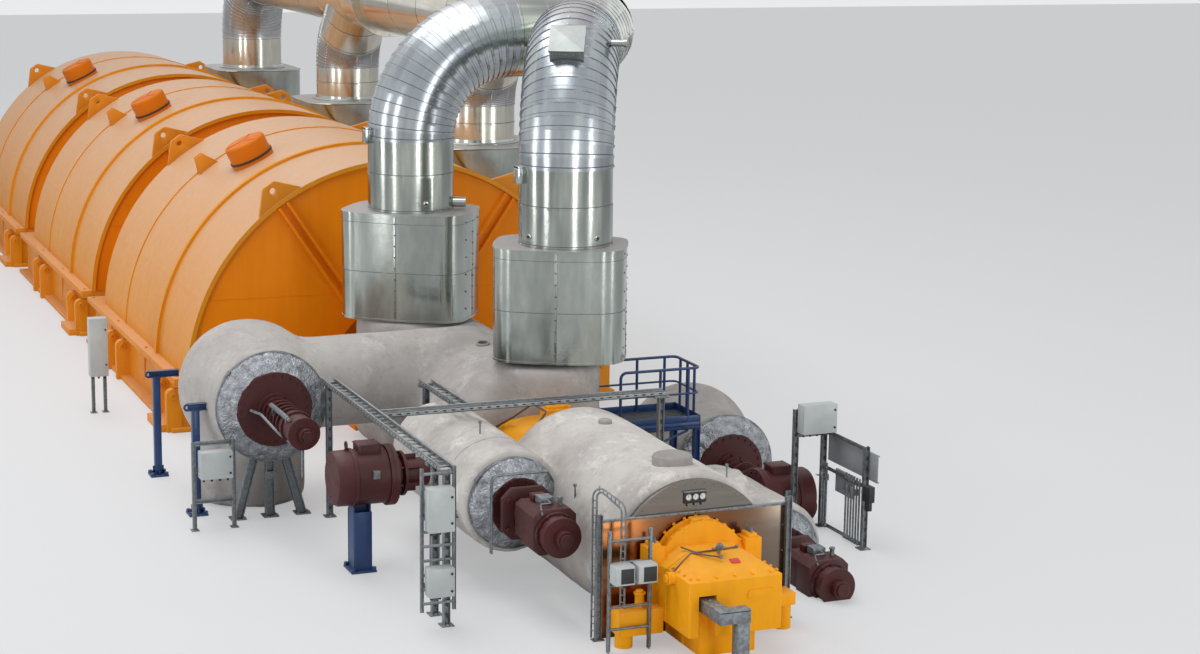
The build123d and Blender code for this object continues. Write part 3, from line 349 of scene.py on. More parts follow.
def make_cladding(name, on_pipe, low_rough=0.11, tint=None, tint_share=0.0):
    """Bright aluminium with streaks that carry painted reflection bands, dents and a tone for each course.
    Where it faces up it is dusty and takes a painted pinkish reflection.
    """
    mat, shader, place = new_finish(name, metallic=1.0, roughness=0.2)
    if on_pipe:
        lay = put(mat, "Attribute", attribute_name="lay").outputs["Vector"]
        gore = put(mat, "Attribute", attribute_name="gore").outputs["Fac"]
    else:
        lay = put(mat, "Mapping", {"Vector": place, "Scale": (0.8, 0.8, 0.25)}).outputs[0]
        gore = 0.0
    course = put(mat, "Attribute", attribute_name="course").outputs["Fac"]
    streaks_and_painted_bands = clouds(mat, lay, 5.5, 2)
    fine_streaks = clouds(mat, lay, 34, 2)
    grime = clouds(mat, place, 1.6, 6, 0.65)
    if on_pipe:
        # On a pipe the streak ramp runs from grey to near white: painted reflection bands laid over the
        # rolling streaks.
        body = ramp(mat, streaks_and_painted_bands, [(0.36, tone(144, 149, 144)), (0.50, tone(180, 186, 178)),
                                      (0.62, tone(222, 228, 216))])
    else:
        body = ramp(mat, streaks_and_painted_bands, [(0.32, tone(162, 168, 163)), (0.68, tone(190, 196, 189))])
    if tint:
        body = mix(mat, tint_share, body, tint)
    body = mix(mat, spread(mat, fine_streaks, 0, 0.22), body, tone(126, 130, 128))
    body = mix(mat, spread(mat, grime, 0, 0.25, 0.5, 0.8), body, tone(136, 136, 130))
    body = mix(mat, times(mat, course, 0.25), body, tone(122, 128, 132))
    body = mix(mat, times(mat, gore, 0.6), body, tone(160, 166, 178))
    # Faces that look up turn pale pinkish grey and less metallic: partly dust, partly a painted reflection of
    # the ceiling and the orange hoods.
    dust = spread(mat, upward(mat), 0, 1, 0.68, 0.98)
    body = mix(mat, times(mat, dust, 0.7), body, tone(172, 163, 165))
    link(mat, body, shader, "Base Color")
    link(mat, spread(mat, dust, 1.0, 0.45, 0, 1), shader, "Metallic")
    dull = plus(mat, times(mat, gore, 0.07), spread(mat, upward(mat), 0, 0.3, 0.75, 0.98))
    rough = plus(mat, spread(mat, grime, low_rough, low_rough + 0.11), dull)
    link(mat, rough, shader, "Roughness")
    dents = clouds(mat, lay, 3.2 if on_pipe else 1.6, 2)
    low = bump(mat, dents, shader, 0.02, 0.35 if on_pipe else 0.25)
    bump(mat, clouds(mat, place, 20, 3), shader, 0.0014, 0.4, low)
    return mat


def make_lap_shadow():
    """Dark line painted as the shadow where one sheet slips under the next, with a painted highlight where it
    faces up.
    """
    mat, shader, place = new_finish("sheet_lap_shadow", metallic=0.6, roughness=0.55)
    body = mix(mat, clouds(mat, place, 9, 3), tone(66, 68, 70), tone(112, 114, 116))
    # Where the line faces up it turns pale: a painted highlight on the bead's edge.
    body = mix(mat, spread(mat, upward(mat), 0, 0.85, 0.35, 0.8), body, tone(182, 174, 174))
    link(mat, body, shader, "Base Color")
    return mat


pipe_sheet = make_cladding("pipe_cladding", True)
box_sheet = make_cladding("box_cladding", False)
dull_sheet = make_cladding("dull_cladding", False, 0.42, grey_sheet, 0.45)
# The header and downcomers take a lighter, warmer tint: a painted sheen for their brighter highlights and the
# orange they mirror.
header_sheet = make_cladding("header_cladding", True, 0.13, painted_warm_sheen, 0.75)
lap_shadow = make_lap_shadow()
print("cladding:", pipe_sheet.name, box_sheet.name, dull_sheet.name, header_sheet.name, lap_shadow.name)

# %% [markdown]
# The hot casings are covered with hard insulation plaster, trowelled on by hand. It is chalky and never one
# tone: cream patches, purple-grey damp blotches, rubbed pale arcs and trowel marks. Each is one noise with
# its own scale, and the arcs come from a noise whose coordinates are bent by another. Some casings are
# damper than others, so `damp` darkens a whole finish by its share.

# %% Insulation plaster


def make_plaster(name, damp):
    """Trowelled insulation plaster with blotches, rubbed arcs and fine grit."""
    mat, shader, place = new_finish(name, roughness=0.88)
    shader.inputs["Specular IOR Level"].default_value = 0.25
    broad = clouds(mat, place, 1.3, 5, 0.6)
    patches = clouds(mat, place, 4.2, 6, 0.68)
    bend = put(mat, "TexNoise", {"Vector": place, "Scale": 1.6, "Detail": 2.0}).outputs["Color"]
    bend = put(mat, "VectorMath", {0: bend, 1: (0.22, 0.22, 0.22)}, operation="MULTIPLY").outputs[0]
    bent = put(mat, "VectorMath", {0: place, 1: bend}, operation="ADD").outputs[0]
    rubs = clouds(mat, bent, 3.4, 9, 0.8, stretch=(1.0, 1.35, 1.0))
    marks = clouds(mat, bent, 12, 5, 0.7, stretch=(1.0, 1.0, 1.8))
    grit = clouds(mat, place, 70, 3)
    body = ramp(mat, broad, [(0.30, tone(176, 170, 166)), (0.48, tone(200, 195, 189)),
                                (0.70, tone(212, 207, 201))])
    body = mix(mat, spread(mat, patches, 0, 0.5, 0.50, 0.72), body, tone(162, 154, 156))
    body = mix(mat, spread(mat, rubs, 0, 0.75, 0.52, 0.66), body, tone(234, 231, 226))
    body = mix(mat, spread(mat, marks, 0, 0.35, 0.56, 0.72), body, tone(140, 133, 130))
    # The plaster turns darker towards the floor.
    height = axis_value(mat, place, "Z")
    body = mix(mat, spread(mat, height, 0.5, 0.0, 0.0, 0.55), body, tone(118, 112, 106))
    body = mix(mat, damp, body, tone(120, 114, 116))
    link(mat, body, shader, "Base Color")
    low = bump(mat, patches, shader, 0.014, 0.6)
    low = bump(mat, marks, shader, 0.003, 0.5, low)
    bump(mat, grit, shader, 0.0012, 0.5, low)
    return mat


plaster = make_plaster("insulation_plaster", 0.0)
damp_plaster = make_plaster("damp_plaster", 0.32)
cap_plaster = make_plaster("cap_plaster", 0.6)
print("plaster:", plaster.name, damp_plaster.name, cap_plaster.name)

# %% [markdown]
# Foil cloth wraps the rings round the valve faces. Crumpled foil is flat facets that meet in sharp creases,
# which a cell pattern gives, warped a little so that no two facets look alike.

# %% Foil, painted castings, zinc and bare steel


def make_foil():
    """Crumpled foil cloth with small sharp facets."""
    mat, shader, place = new_finish("crumpled_foil", metallic=0.85, roughness=0.4)
    warp = put(mat, "TexNoise", {"Vector": place, "Scale": 6.0, "Detail": 3.0}).outputs["Color"]
    moved = put(mat, "VectorMath", {0: place, 1: warp}, operation="ADD").outputs[0]
    facets = put(mat, "TexVoronoi", {"Vector": moved, "Scale": 15.0}, feature="F1").outputs["Distance"]
    small = put(mat, "TexVoronoi", {"Vector": moved, "Scale": 44.0}, feature="F1").outputs["Distance"]
    body = mix(mat, spread(mat, clouds(mat, place, 14, 4), 0, 1), tone(126, 129, 134),
               tone(176, 179, 184))
    link(mat, body, shader, "Base Color")
    low = bump(mat, facets, shader, 0.014, 0.6)
    bump(mat, small, shader, 0.005, 0.5, low)
    return mat


def make_painted(name, deep, pale, roughness, dust, coat=0.15):
    """Enamel on castings, a little dusty on top, with dark runs."""
    mat, shader, place = new_finish(name, roughness=roughness, coat=coat)
    cloud = clouds(mat, place, 5, 5, 0.6)
    fine = clouds(mat, place, 48, 3)
    body = mix(mat, spread(mat, cloud, 0, 1), deep, pale)
    film = times(mat, spread(mat, upward(mat), 0, dust, 0.35, 1.0), spread(mat, fine, 0.6, 1.2))
    body = mix(mat, film, body, tone(176, 166, 156))
    link(mat, body, shader, "Base Color")
    link(mat, spread(mat, cloud, roughness - 0.08, roughness + 0.14), shader, "Roughness")
    bump(mat, fine, shader, 0.001, 0.5)
    return mat


def make_galvanised(name, metallic, low_tone, high_tone):
    """Hot-dip zinc with its dull spangle."""
    mat, shader, place = new_finish(name, metallic=metallic, roughness=0.5)
    spangle = put(mat, "TexVoronoi", {"Vector": place, "Scale": 55.0}).outputs["Color"]
    grey = put(mat, "SeparateColor", {"Color": spangle}).outputs["Red"]
    body = mix(mat, grey, low_tone, high_tone)
    body = mix(mat, spread(mat, clouds(mat, place, 3, 5), 0, 0.4), body, tone(96, 100, 102))
    link(mat, body, shader, "Base Color")
    link(mat, spread(mat, grey, 0.38, 0.6, 0, 1), shader, "Roughness")
    bump(mat, grey, shader, 0.0006, 0.4)
    return mat


def make_steel_sheet(name, low_tone, high_tone, gloss, painted_orange_reflection=0.0):
    """Rolled sheet with fine lines along Y and a shallow wave. Some sheets get a painted orange-brown
    reflection, strongest towards their left.
    """
    mat, shader, place = new_finish(name, metallic=1.0, roughness=gloss)
    lines = clouds(mat, place, 40, 3, stretch=(1, 0.05, 1))
    waves = clouds(mat, place, 2.5, 2)
    body = mix(mat, lines, low_tone, high_tone)
    leftward = spread(mat, axis_value(mat, place, "Y"), painted_orange_reflection, 0.15 * painted_orange_reflection, 0.15, 0.6)
    reflection_patch = times(mat, leftward, spread(mat, waves, 0.8, 1.0, 0.35, 0.6))
    link(mat, mix(mat, reflection_patch, body, tone(132, 78, 36)), shader, "Base Color")
    link(mat, spread(mat, lines, gloss, gloss + 0.06), shader, "Roughness")
    bump(mat, waves, shader, 0.004, 0.3)
    return mat


foil = make_foil()
red = make_painted("red_enamel", tone(58, 9, 11), tone(76, 16, 15), 0.5, 0.01, 0.0)
blue = make_painted("blue_enamel", tone(22, 52, 98), tone(30, 66, 118), 0.38, 0.10)
grey_box = make_painted("grey_enclosure", tone(176, 182, 182), tone(192, 197, 196), 0.45, 0.10)
dark = make_painted("dark_rubber", tone(30, 32, 35), tone(48, 50, 52), 0.55, 0.08, 0.0)
pale = make_painted("white_dial", tone(224, 224, 218), tone(236, 236, 230), 0.35, 0.0)
zinc = make_galvanised("galvanised", 0.7, tone(112, 117, 120), tone(152, 157, 160))
tray_zinc = make_galvanised("tray_zinc", 0.5, tone(142, 146, 148), tone(180, 184, 185))
sheet_grey = make_painted("sheet_grey", tone(140, 144, 150), tone(160, 164, 170), 0.5, 0.05, 0.0)
steel = make_steel_sheet("steel_sheet", tone(122, 116, 108), tone(146, 140, 131), 0.22)
# The splash wall's sheet carries the painted orange-brown reflection.
mirror = make_steel_sheet("mirror_sheet", tone(112, 105, 96), tone(128, 120, 110), 0.17, 0.95)
print("materials:", len(bpy.data.materials))

# %% [markdown]
# Most CAD nodes keep their own shape and only take a finish. A list pairs each finish with the nodes that
# wear it, so a node that is forgotten shows up at once in what the cell prints.

# %% Dress the CAD nodes
wears = [
    (enamel_skin, "low1_hood low2_hood low3_hood"),
    (enamel_wall, "low1_end_walls low2_end_walls low3_end_walls"),
    (enamel_wall, "low_mid_bearing coupling_covers rear_bearing"),
    (enamel_base, "low1_base low2_base low3_base lifting_lugs relief_covers"),
    (enamel_front, "mid_high_bearing front_pedestal pedestal_rear"),
    (box_sheet, "inlet_boxes outlet_boxes riser_hatch riser_boxes"),
    (pipe_sheet, "crossover_header low_downcomers front_riser rear_riser"),
    (damp_plaster, "mid_casing mid_left_valve mid_right_valve"),
    (plaster, "high_casing high_left_chest high_right_chest"),
    (cap_plaster, "high_caps"),
    (foil, "mid_rings high_rings"),
    (red, "mid_actuators high_actuators side_actuators"),
    (blue, "side_posts platform_deck platform_posts platform_railings blue_posts"),
    (zinc, "mid_left_stand front_ladder handrail_arch cable_trays cable_ladder tray_posts box_stands"),
    (zinc, "right_rack rack_panels rack_tubes front_duct"),
    (steel, "front_screen high_end_plate rotor_coupling"),
    (grey_box, "gauge_panel gauge_boxes switch_boxes"),
]
for finish, names in wears:
    for name in names.split():
        mesh = nodes[name].data
        mesh.materials.clear()
        mesh.materials.append(finish)
left_bare = set(nodes) - {name for _, names in wears for name in names.split()}
print("nodes with no finish:", sorted(left_bare))

# %% [markdown]
# The new pieces share a few makers. Each makes one closed shape in a small mesh of its own and then joins it
# to the piece: `turned` spins a profile as a lathe does, `slab` is a box with broken edges, `bent_tube` is a
# tube along runs and arcs, `beam` is a rolled H section, and `stamp` and `stand` repeat a small mesh.
# `finish_piece` turns the working mesh into an object that rides on the body and stands for its CAD nodes.

# %% Helpers for shapes


def facing(place, along):
    """Matrix that turns +Z to a direction and moves to a place."""
    return Matrix.Translation(place) @ Vector(along).to_track_quat("Z", "Y").to_matrix().to_4x4()


def join(bm, part, matrix=Matrix(), finish=0):
    """Moves a small working mesh to its place and adds it to a larger one."""
    bmesh.ops.transform(part, matrix=matrix, verts=part.verts)
    for face in part.faces:
        face.material_index = finish
    mesh = bpy.data.meshes.new("part")
    part.to_mesh(mesh)
    part.free()
    bm.from_mesh(mesh)
    bpy.data.meshes.remove(mesh)


def finish_piece(bm, name, finishes, replaced=(), smooth=35):
    """Makes an object from a working mesh, shades it and ties it to the frame."""
    bmesh.ops.recalc_face_normals(bm, faces=bm.faces)
    mesh = bpy.data.meshes.new(name)
    bm.to_mesh(mesh)
    bm.free()
    for finish in finishes:
        mesh.materials.append(finish)
    mesh.shade_smooth()
    mesh.set_sharp_from_angle(angle=radians(smooth))
    piece = in_scene(name, mesh)
    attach(piece, "root")
    if replaced:
        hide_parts(*replaced)
    mesh.calc_loop_triangles()
    print(name, len(mesh.loop_triangles), "triangles")
    return piece


def turned(bm, profile, place, along, steps=48, finish=0):
    """Spins (distance along, radius) points round an axis that starts at a place."""
    part = bmesh.new()
    points = [part.verts.new((radius, 0, distance)) for distance, radius in profile]
    edges = [part.edges.new(pair) for pair in zip(points, points[1:])]
    bmesh.ops.spin(part, geom=points + edges, cent=(0, 0, 0), axis=(0, 0, 1), angle=2 * pi, steps=steps,
                   use_merge=True)
    bmesh.ops.remove_doubles(part, verts=part.verts, dist=1e-6)
    join(bm, part, facing(place, along), finish)


def cube(low, high):
    """Working mesh of a box between two corners."""
    low, high = Vector(low), Vector(high)
    part = bmesh.new()
    size = Matrix.Diagonal((*(high - low), 1))
    bmesh.ops.create_cube(part, size=1, matrix=Matrix.Translation((low + high) / 2) @ size)
    return part


def round_edges(part, edges, width, segments=2):
    """Takes some edges off a working mesh: flat with one segment, round with many."""
    bmesh.ops.bevel(part, geom=edges, offset=width, segments=segments, affect="EDGES", profile=0.5,
                    material=-1, clamp_overlap=True)


def edges_along(part, axis):
    """Edges that run along an axis."""
    return [edge for edge in part.edges if abs(edge.verts[0].co[axis] - edge.verts[1].co[axis]) > 1e-4]


def slab(bm, low, high, bevel=0.0, finish=0, matrix=Matrix()):
    """Box between two corners, with slightly broken edges."""
    part = cube(low, high)
    if bevel:
        round_edges(part, part.edges[:], bevel)
    join(bm, part, matrix, finish)


def pad(bm, x, y, half_x, half_y, low_z, high_z, bevel=0.001):
    """Slab whose middle is at x and y."""
    slab(bm, (x - half_x, y - half_y, low_z), (x + half_x, y + half_y, high_z), bevel)


def rod(bm, start, end, radius, steps=12, finish=0):
    """Round bar between two points."""
    start, end = Vector(start), Vector(end)
    length = (end - start).length
    turned(bm, [(0, 0), (0, radius), (length, radius), (length, 0)], start, end - start, steps, finish)


def divide_run(start, end, course):
    """Stations at equal steps along a straight run, without its end."""
    length = (end - start).length
    if length < 1e-6:
        return []
    count = max(1, round(length / course))
    return [(start.lerp(end, index / count), (end - start).normalized(), False) for index in range(count)]


def walk_route(points, bend, run_course, gore_turn):
    """Stations along a route: place, direction, and whether the course after it is a gore of a bend."""
    points = [Vector(point) for point in points]
    stations = []
    start = points[0]
    for before, corner, after in zip(points, points[1:], points[2:]):
        way_in, way_out = (corner - before).normalized(), (after - corner).normalized()
        turn = acos(max(-1.0, min(1.0, way_in.dot(way_out))))
        inset = bend * tan(turn / 2)
        arc_start = corner - way_in * inset
        centre = arc_start + (way_out - way_in * way_in.dot(way_out)).normalized() * bend
        stations += divide_run(start, arc_start, run_course)
        axis = way_in.cross(way_out).normalized()
        gores = max(2, round(turn / gore_turn))
        for index in range(gores):
            spin = Matrix.Rotation(turn * index / gores, 3, axis)
            stations.append((centre + spin @ (arc_start - centre), spin @ way_in, True))
        start = corner + way_out * inset
    stations += divide_run(start, points[-1], run_course)
    stations.append((points[-1], (points[-1] - start).normalized(), False))
    return stations


def bent_tube(bm, points, bend, radius, steps=12, finish=0):
    """Round tube along straight runs joined by arcs, closed at both ends."""
    stations = walk_route(points, bend, 99, radians(15))
    part = bmesh.new()
    last_way = stations[0][1]
    turn = facing((0, 0, 0), last_way).to_3x3()
    rings = []
    for index, (place, way, _) in enumerate(stations):
        turn = last_way.rotation_difference(way).to_matrix() @ turn
        last_way = way
        made = bmesh.ops.create_circle(part, segments=steps, radius=radius,
                                       cap_ends=index in (0, len(stations) - 1),
                                       matrix=Matrix.Translation(place) @ turn.to_4x4())
        rings.append(list({edge for vert in made["verts"] for edge in vert.link_edges}))
    for first, second in zip(rings, rings[1:]):
        bmesh.ops.bridge_loops(part, edges=first + second)
    join(bm, part, finish=finish)


def stamp(bm, mesh, matrices):
    """Adds a copy of a small mesh at each place."""
    for matrix in matrices:
        copy = mesh.copy()
        copy.transform(matrix)
        bm.from_mesh(copy)
        bpy.data.meshes.remove(copy)


def stand(bm, mesh, places):
    """Upright copies of a small mesh at some places."""
    stamp(bm, mesh, [Matrix.Translation(place) for place in places])


def small_mesh(name, radius, height, sides, top=1.0, finish=0):
    """Stud, screw or nut that stands on Z = 0, to be stamped."""
    part = bmesh.new()
    bmesh.ops.create_cone(part, cap_ends=True, segments=sides, radius1=radius, radius2=radius * top,
                          depth=height, matrix=Matrix.Translation((0, 0, height / 2)))
    for face in part.faces:
        face.material_index = finish
    mesh = bpy.data.meshes.new(name)
    part.to_mesh(mesh)
    part.free()
    return mesh


def bolt_circle(bm, mesh, centre, along, pitch_radius, count, start=0.0):
    """Ring of bolt heads round an axis."""
    base = facing(centre, along)
    places = [base @ Matrix.Rotation(start + 2 * pi * index / count, 4, "Z") @
              Matrix.Translation((pitch_radius, 0, 0)) for index in range(count)]
    stamp(bm, mesh, places)


def beam(bm, start, end, size, plate, side=(1, 0, 0), finish=0):
    """H section between two points, with its flanges facing a side."""
    start, end = Vector(start), Vector(end)
    along = (end - start).normalized()
    across = (Vector(side) - along * along.dot(Vector(side))).normalized()
    turn = Matrix((across, along.cross(across), along)).transposed().to_4x4()
    matrix = Matrix.Translation(start) @ turn
    length, half = (end - start).length, size / 2
    slab(bm, (-half, -half, 0), (plate - half, half, length), 0, finish, matrix)
    slab(bm, (half - plate, -half, 0), (half, half, length), 0, finish, matrix)
    slab(bm, (plate - half, -plate / 2, 0), (half - plate, plate / 2, length), 0, finish, matrix)


def loose_boxes(name):
    """Low and high corner of each loose solid in a CAD node."""
    bm = bmesh.new()
    bm.from_mesh(nodes[name].data)
    bmesh.ops.remove_doubles(bm, verts=bm.verts, dist=1e-5)
    waiting, found = set(bm.verts), []
    while waiting:
        front = [waiting.pop()]
        island = []
        while front:
            vert = front.pop()
            island.append(vert.co.copy())
            fresh = {edge.other_vert(vert) for edge in vert.link_edges} & waiting
            waiting -= fresh
            front += fresh
        corners = [[pick(point[axis] for point in island) for axis in range(3)] for pick in (min, max)]
        found.append((Vector(corners[0]), Vector(corners[1])))
    bm.free()
    return sorted(found, key=lambda pair: tuple(round(value, 4) for value in pair[0]))


def softened(name, width, finish, angle=30):
    """Copy of a CAD node with its sharp edges broken, as a casting's or a fabrication's are."""
    bm = bmesh.new()
    bm.from_mesh(nodes[name].data)
    bmesh.ops.remove_doubles(bm, verts=bm.verts, dist=1e-5)
    bmesh.ops.dissolve_limit(bm, angle_limit=radians(2), verts=bm.verts[:], edges=bm.edges[:])
    sharp = [edge for edge in bm.edges if edge.is_manifold and edge.calc_face_angle() > radians(angle)]
    round_edges(bm, sharp, width)
    return finish_piece(bm, name + "_softened", [finish], [name])


screw = small_mesh("screw", 0.007, 0.004, 6, 0.6)
dark_screw = small_mesh("dark_screw", 0.009, 0.005, 6, 0.7, 1)
nut = small_mesh("nut", 0.012, 0.012, 6, 0.95)
large_nut = small_mesh("large_nut", 0.019, 0.022, 6, 0.95)
print("faces of a screw:", len(screw.polygons), "of a nut:", len(nut.polygons))

# %% [markdown]
# Each low-pressure hood is welded from rolled plate. Its long seams show as fine raised lines, the joint rail
# has a row of bolts, and a relief cover sits on the left shoulder: a drum on a dark gasket, with folds in its
# thin lid that let it burst outwards. All of these are placed by an angle round the hood.

# %% Hood details
low_boxes = [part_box(f"low{number}_hood") for number in (1, 2, 3)]
low_xs = [(low.x + high.x) / 2 for low, high in low_boxes]
hood_length = low_boxes[0][1].x - low_boxes[0][0].x
drum_angle, drum_shift, seam_angle = -26, 0.025, 67
rail_z, rail_nut_y, rail_nut_shifts = 0.5, 2.055, (-2.08, -0.7, 0.7, 2.08)
gusset_shifts, boss_y, boss_z = (-0.775, -0.265, 1.59, 2.10), 2.103, 0.335
boss_profile = [(0, 0), (0, 0.034), (0.008, 0.034), (0.012, 0.030), (0.012, 0.015), (0.004, 0.015),
                (0.004, 0)]
print("hoods at", [round(x, 3) for x in low_xs])


def on_hood(x, angle, lift=0.0):
    """Point on a hood's skin and its outward direction. Positive angles are on the right."""
    way = Vector((0, sin(radians(angle)), cos(radians(angle))))
    return Vector((x, 0, hood_centre_z)) + way * (hood_radius + lift), way


def relief_drum(bm, x):
    """Skirt, dark gasket and drum, with three folds in its lid."""
    skirt = [(-0.06, 0), (-0.06, 0.215), (0.026, 0.215), (0.033, 0.209), (0.033, 0)]
    gasket = [(0.033, 0), (0.033, 0.219), (0.051, 0.219), (0.051, 0)]
    drum = [(0.051, 0), (0.051, 0.207), (0.185, 0.206), (0.200, 0.201), (0.209, 0.189), (0.211, 0.175),
            (0.214, 0)]
    place, way = on_hood(x, drum_angle)
    for profile, finish in ((skirt, 0), (gasket, 1), (drum, 0)):
        turned(bm, profile, place, way, 72, finish)
    matrix = facing(place, way)
    for turn in (25, 145, 265):
        slab(bm, (0, -0.004, 0.209), (0.182, 0.004, 0.2175), 0.002, 0,
             matrix @ Matrix.Rotation(radians(turn), 4, "Z"))


def hood_welds(bm, x):
    """Long seams on both shoulders and one across each end wall."""
    reach, wall_inset, wall_reach = hood_length / 2 - 0.005, 0.030, 1.80
    for side in (-1, 1):
        place = on_hood(x, side * seam_angle, -0.003)[0]
        rod(bm, (x - reach, place.y, place.z), (x + reach, place.y, place.z), 0.005, 8)
        wall_x = x + side * (hood_length / 2 - wall_inset)
        rod(bm, (wall_x, -wall_reach, place.z), (wall_x, wall_reach, place.z), 0.004, 8, 1)


def base_bolts(bm, x):
    """Nuts along both rails of one base, and a round boss on each of its gussets."""
    for side in (-1, 1):
        stand(bm, nut, [(x + shift, side * rail_nut_y, rail_z) for shift in rail_nut_shifts])
        for shift in gusset_shifts:
            turned(bm, boss_profile, (x + shift + 0.038, side * boss_y, boss_z), (1, 0, 0), 28)


bm = bmesh.new()
for x in low_xs:
    relief_drum(bm, x + drum_shift)
finish_piece(bm, "relief_drums", [enamel_drum, dark], ["relief_covers"])
bm = bmesh.new()
for x in low_xs:
    hood_welds(bm, x)
finish_piece(bm, "hood_welds", [enamel_skin, enamel_wall])
bm = bmesh.new()
for number in (1, 2, 3):
    low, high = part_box(f"low{number}_base")
    base_bolts(bm, (low.x + high.x) / 2)
finish_piece(bm, "rail_bolts", [enamel_base])
for number in (1, 2, 3):
    softened(f"low{number}_base", 0.007, enamel_base)
softened("lifting_lugs", 0.004, enamel_base)

# %% [markdown]
# A clad pipe is made of sheet courses. Straight runs take long sleeves. A bend takes many short gores, each
# cut so that it turns the pipe a few degrees. Every course slips over the one before it: a raised bead shows
# on its edge, then a thin dark line of painted shadow under that edge. A curve with a bevel would give a
# smooth pipe with no sheets, so rings are bridged instead, and a frame is carried along the route so that the
# streaks don't twist.

# %% Helpers for clad pipes
bead_height, bead_width, shadow_width = 0.007, 0.020, 0.0055
lap_height, lap_steps, screw_steps, lay_scale = 0.0035, 2, 6, 0.12


def course_profile(length, radius, bent):
    """Ring radii along one course: the bead over the last sheet, a painted shadow line under it, then the
    sheet itself.
    """
    lift = bead_height if bent else bead_height * 0.5
    wide = min(bead_width, length / 3)
    return [(0.0, radius), (0.0, radius + lift), (wide, radius + lift), (wide, radius),
            (wide + shadow_width, radius), (length, radius)]


def clad_pipe(bm, stations, radius, lap_turn=0.0, steps=72):
    """Sheet courses between stations, each with its own tone and a lapped seam along it."""
    course = bm.faces.layers.float.new("course")
    gore = bm.faces.layers.float.new("gore")
    lay = bm.verts.layers.float_vector.new("lay")
    last_way = stations[0][1]
    turn = facing((0, 0, 0), last_way).to_3x3()
    run = 0.0
    screws = []
    last_course = len(stations) - 2
    for number, (station, following) in enumerate(zip(stations, stations[1:])):
        (place, way, bent), (next_place, next_way) = station, following[:2]
        length = (next_place - place).length
        shade, lap = random.random(), int(lap_turn + (number % 2) * 4) % steps
        profile = course_profile(length, radius, bent)
        rings = []
        for index, (along, size) in enumerate(profile):
            aim = way.lerp(next_way, along / length).normalized()
            turn = last_way.rotation_difference(aim).to_matrix() @ turn
            last_way = aim
            middle = place.lerp(next_place, along / length)
            capped = (number, index) in ((0, 0), (last_course, len(profile) - 1))
            made = bmesh.ops.create_circle(bm, segments=steps, radius=size, cap_ends=capped,
                                           matrix=Matrix.Translation(middle) @ turn.to_4x4())
            rings.append(list({edge for vert in made["verts"] for edge in vert.link_edges}))
            for spoke, vert in enumerate(made["verts"]):
                out = (vert.co - middle).normalized()
                flat = turn.inverted() @ out
                vert[lay] = (flat.x * radius, flat.y * radius, (run + along) * lay_scale)
                if index > 1 and (spoke - lap) % steps < lap_steps:
                    vert.co += out * lap_height
                if index == 2 and spoke % screw_steps == 0:
                    screws.append(facing(vert.co - aim * 0.01, out))
        # The fourth band of each course takes the second finish, the dark lap shadow: a painted shadow line.
        for first, second, line in zip(rings, rings[1:], (0, 0, 0, 1, 0)):
            for face in bmesh.ops.bridge_loops(bm, edges=first + second)["faces"]:
                face[course] = shade
                face[gore] = 1.0 if bent else 0.0
                face.material_index = line
        run += length
    stamp(bm, screw, screws)


# %% Crossover pipes
header_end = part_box("crossover_header")[1].x
header_radius, pipe_radius, elbow_bend = 0.40, 0.37, 0.88
gore_turn, branch_gore_turn = radians(4.9), radians(4.2)
header_course, riser_course, branch_course = 1.0, 0.3, 0.24
inlet_top, box_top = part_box("inlet_boxes")[1].z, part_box("outlet_boxes")[1].z
header_z, inlet_y = inlet_top + 1.31, 1.47
front_box, rear_box = Vector((1.1, 0.3, box_top)), Vector((-1.1, -0.27, box_top))
branch_bend, branch_lean, branch_rise = 0.62, radians(42), 0.62
band_start, band_width = -7.35, 0.09


def make_header():
    """Long crossover header with its end elbow down to the last inlet box, and a band ring."""
    bm = bmesh.new()
    last = low_xs[-1]
    points = [(header_end, inlet_y, header_z), (last, inlet_y, header_z), (last, inlet_y, inlet_top)]
    clad_pipe(bm, walk_route(points, elbow_bend, header_course, gore_turn), header_radius)
    band = [(0, 0.39), (0, 0.457), (0.004, 0.46), (band_width - 0.004, 0.46), (band_width, 0.457),
            (band_width, 0.39)]
    turned(bm, band, (band_start, inlet_y, header_z), (1, 0, 0), 72)
    bolt_circle(bm, nut, (band_start + band_width, inlet_y, header_z), (1, 0, 0), 0.435, 32)
    finish_piece(bm, "header_courses", [header_sheet, lap_shadow], ["crossover_header"])


def make_downcomers():
    """Leaning branches from the header down to the first two inlet boxes."""
    for x, name in zip(low_xs[:-1], ("first", "second")):
        bm = bmesh.new()
        bend_z = inlet_top + branch_rise
        corner = Vector((x, inlet_y, bend_z))
        end = Vector((x + (header_z - bend_z) * tan(branch_lean), inlet_y, header_z))
        end -= (end - corner).normalized() * 0.1
        points = [(x, inlet_y, inlet_top), corner, end]
        route = walk_route(points, branch_bend, branch_course, branch_gore_turn)
        clad_pipe(bm, route, pipe_radius)
        finish_piece(bm, name + "_downcomer", [header_sheet, lap_shadow], ["low_downcomers"])


def make_risers():
    """Two risers from the outlet boxes. Their elbows turn to the header."""
    risers = (("front_riser", front_box, (header_end, inlet_y, header_z), 30),
              ("rear_riser", rear_box, (rear_box.x, inlet_y - 0.05, header_z), 20))
    for name, foot, end, lap_turn in risers:
        bm = bmesh.new()
        route = walk_route([foot, (foot.x, foot.y, header_z), end], elbow_bend, riser_course, gore_turn)
        clad_pipe(bm, route, pipe_radius, lap_turn)
        finish_piece(bm, name + "_courses", [pipe_sheet, lap_shadow], [name])


make_header()
make_downcomers()
make_risers()

# %% [markdown]
# Where the risers leave the casing they stand on big sheet-metal boxes. A box is two courses and a flat lid
# with a lip, all with round corners: a cube whose upright edges are bevelled by the corner radius. Fine laps
# with rows of nails close the sheets in the middle of each side, and each box is turned to its riser's bend.

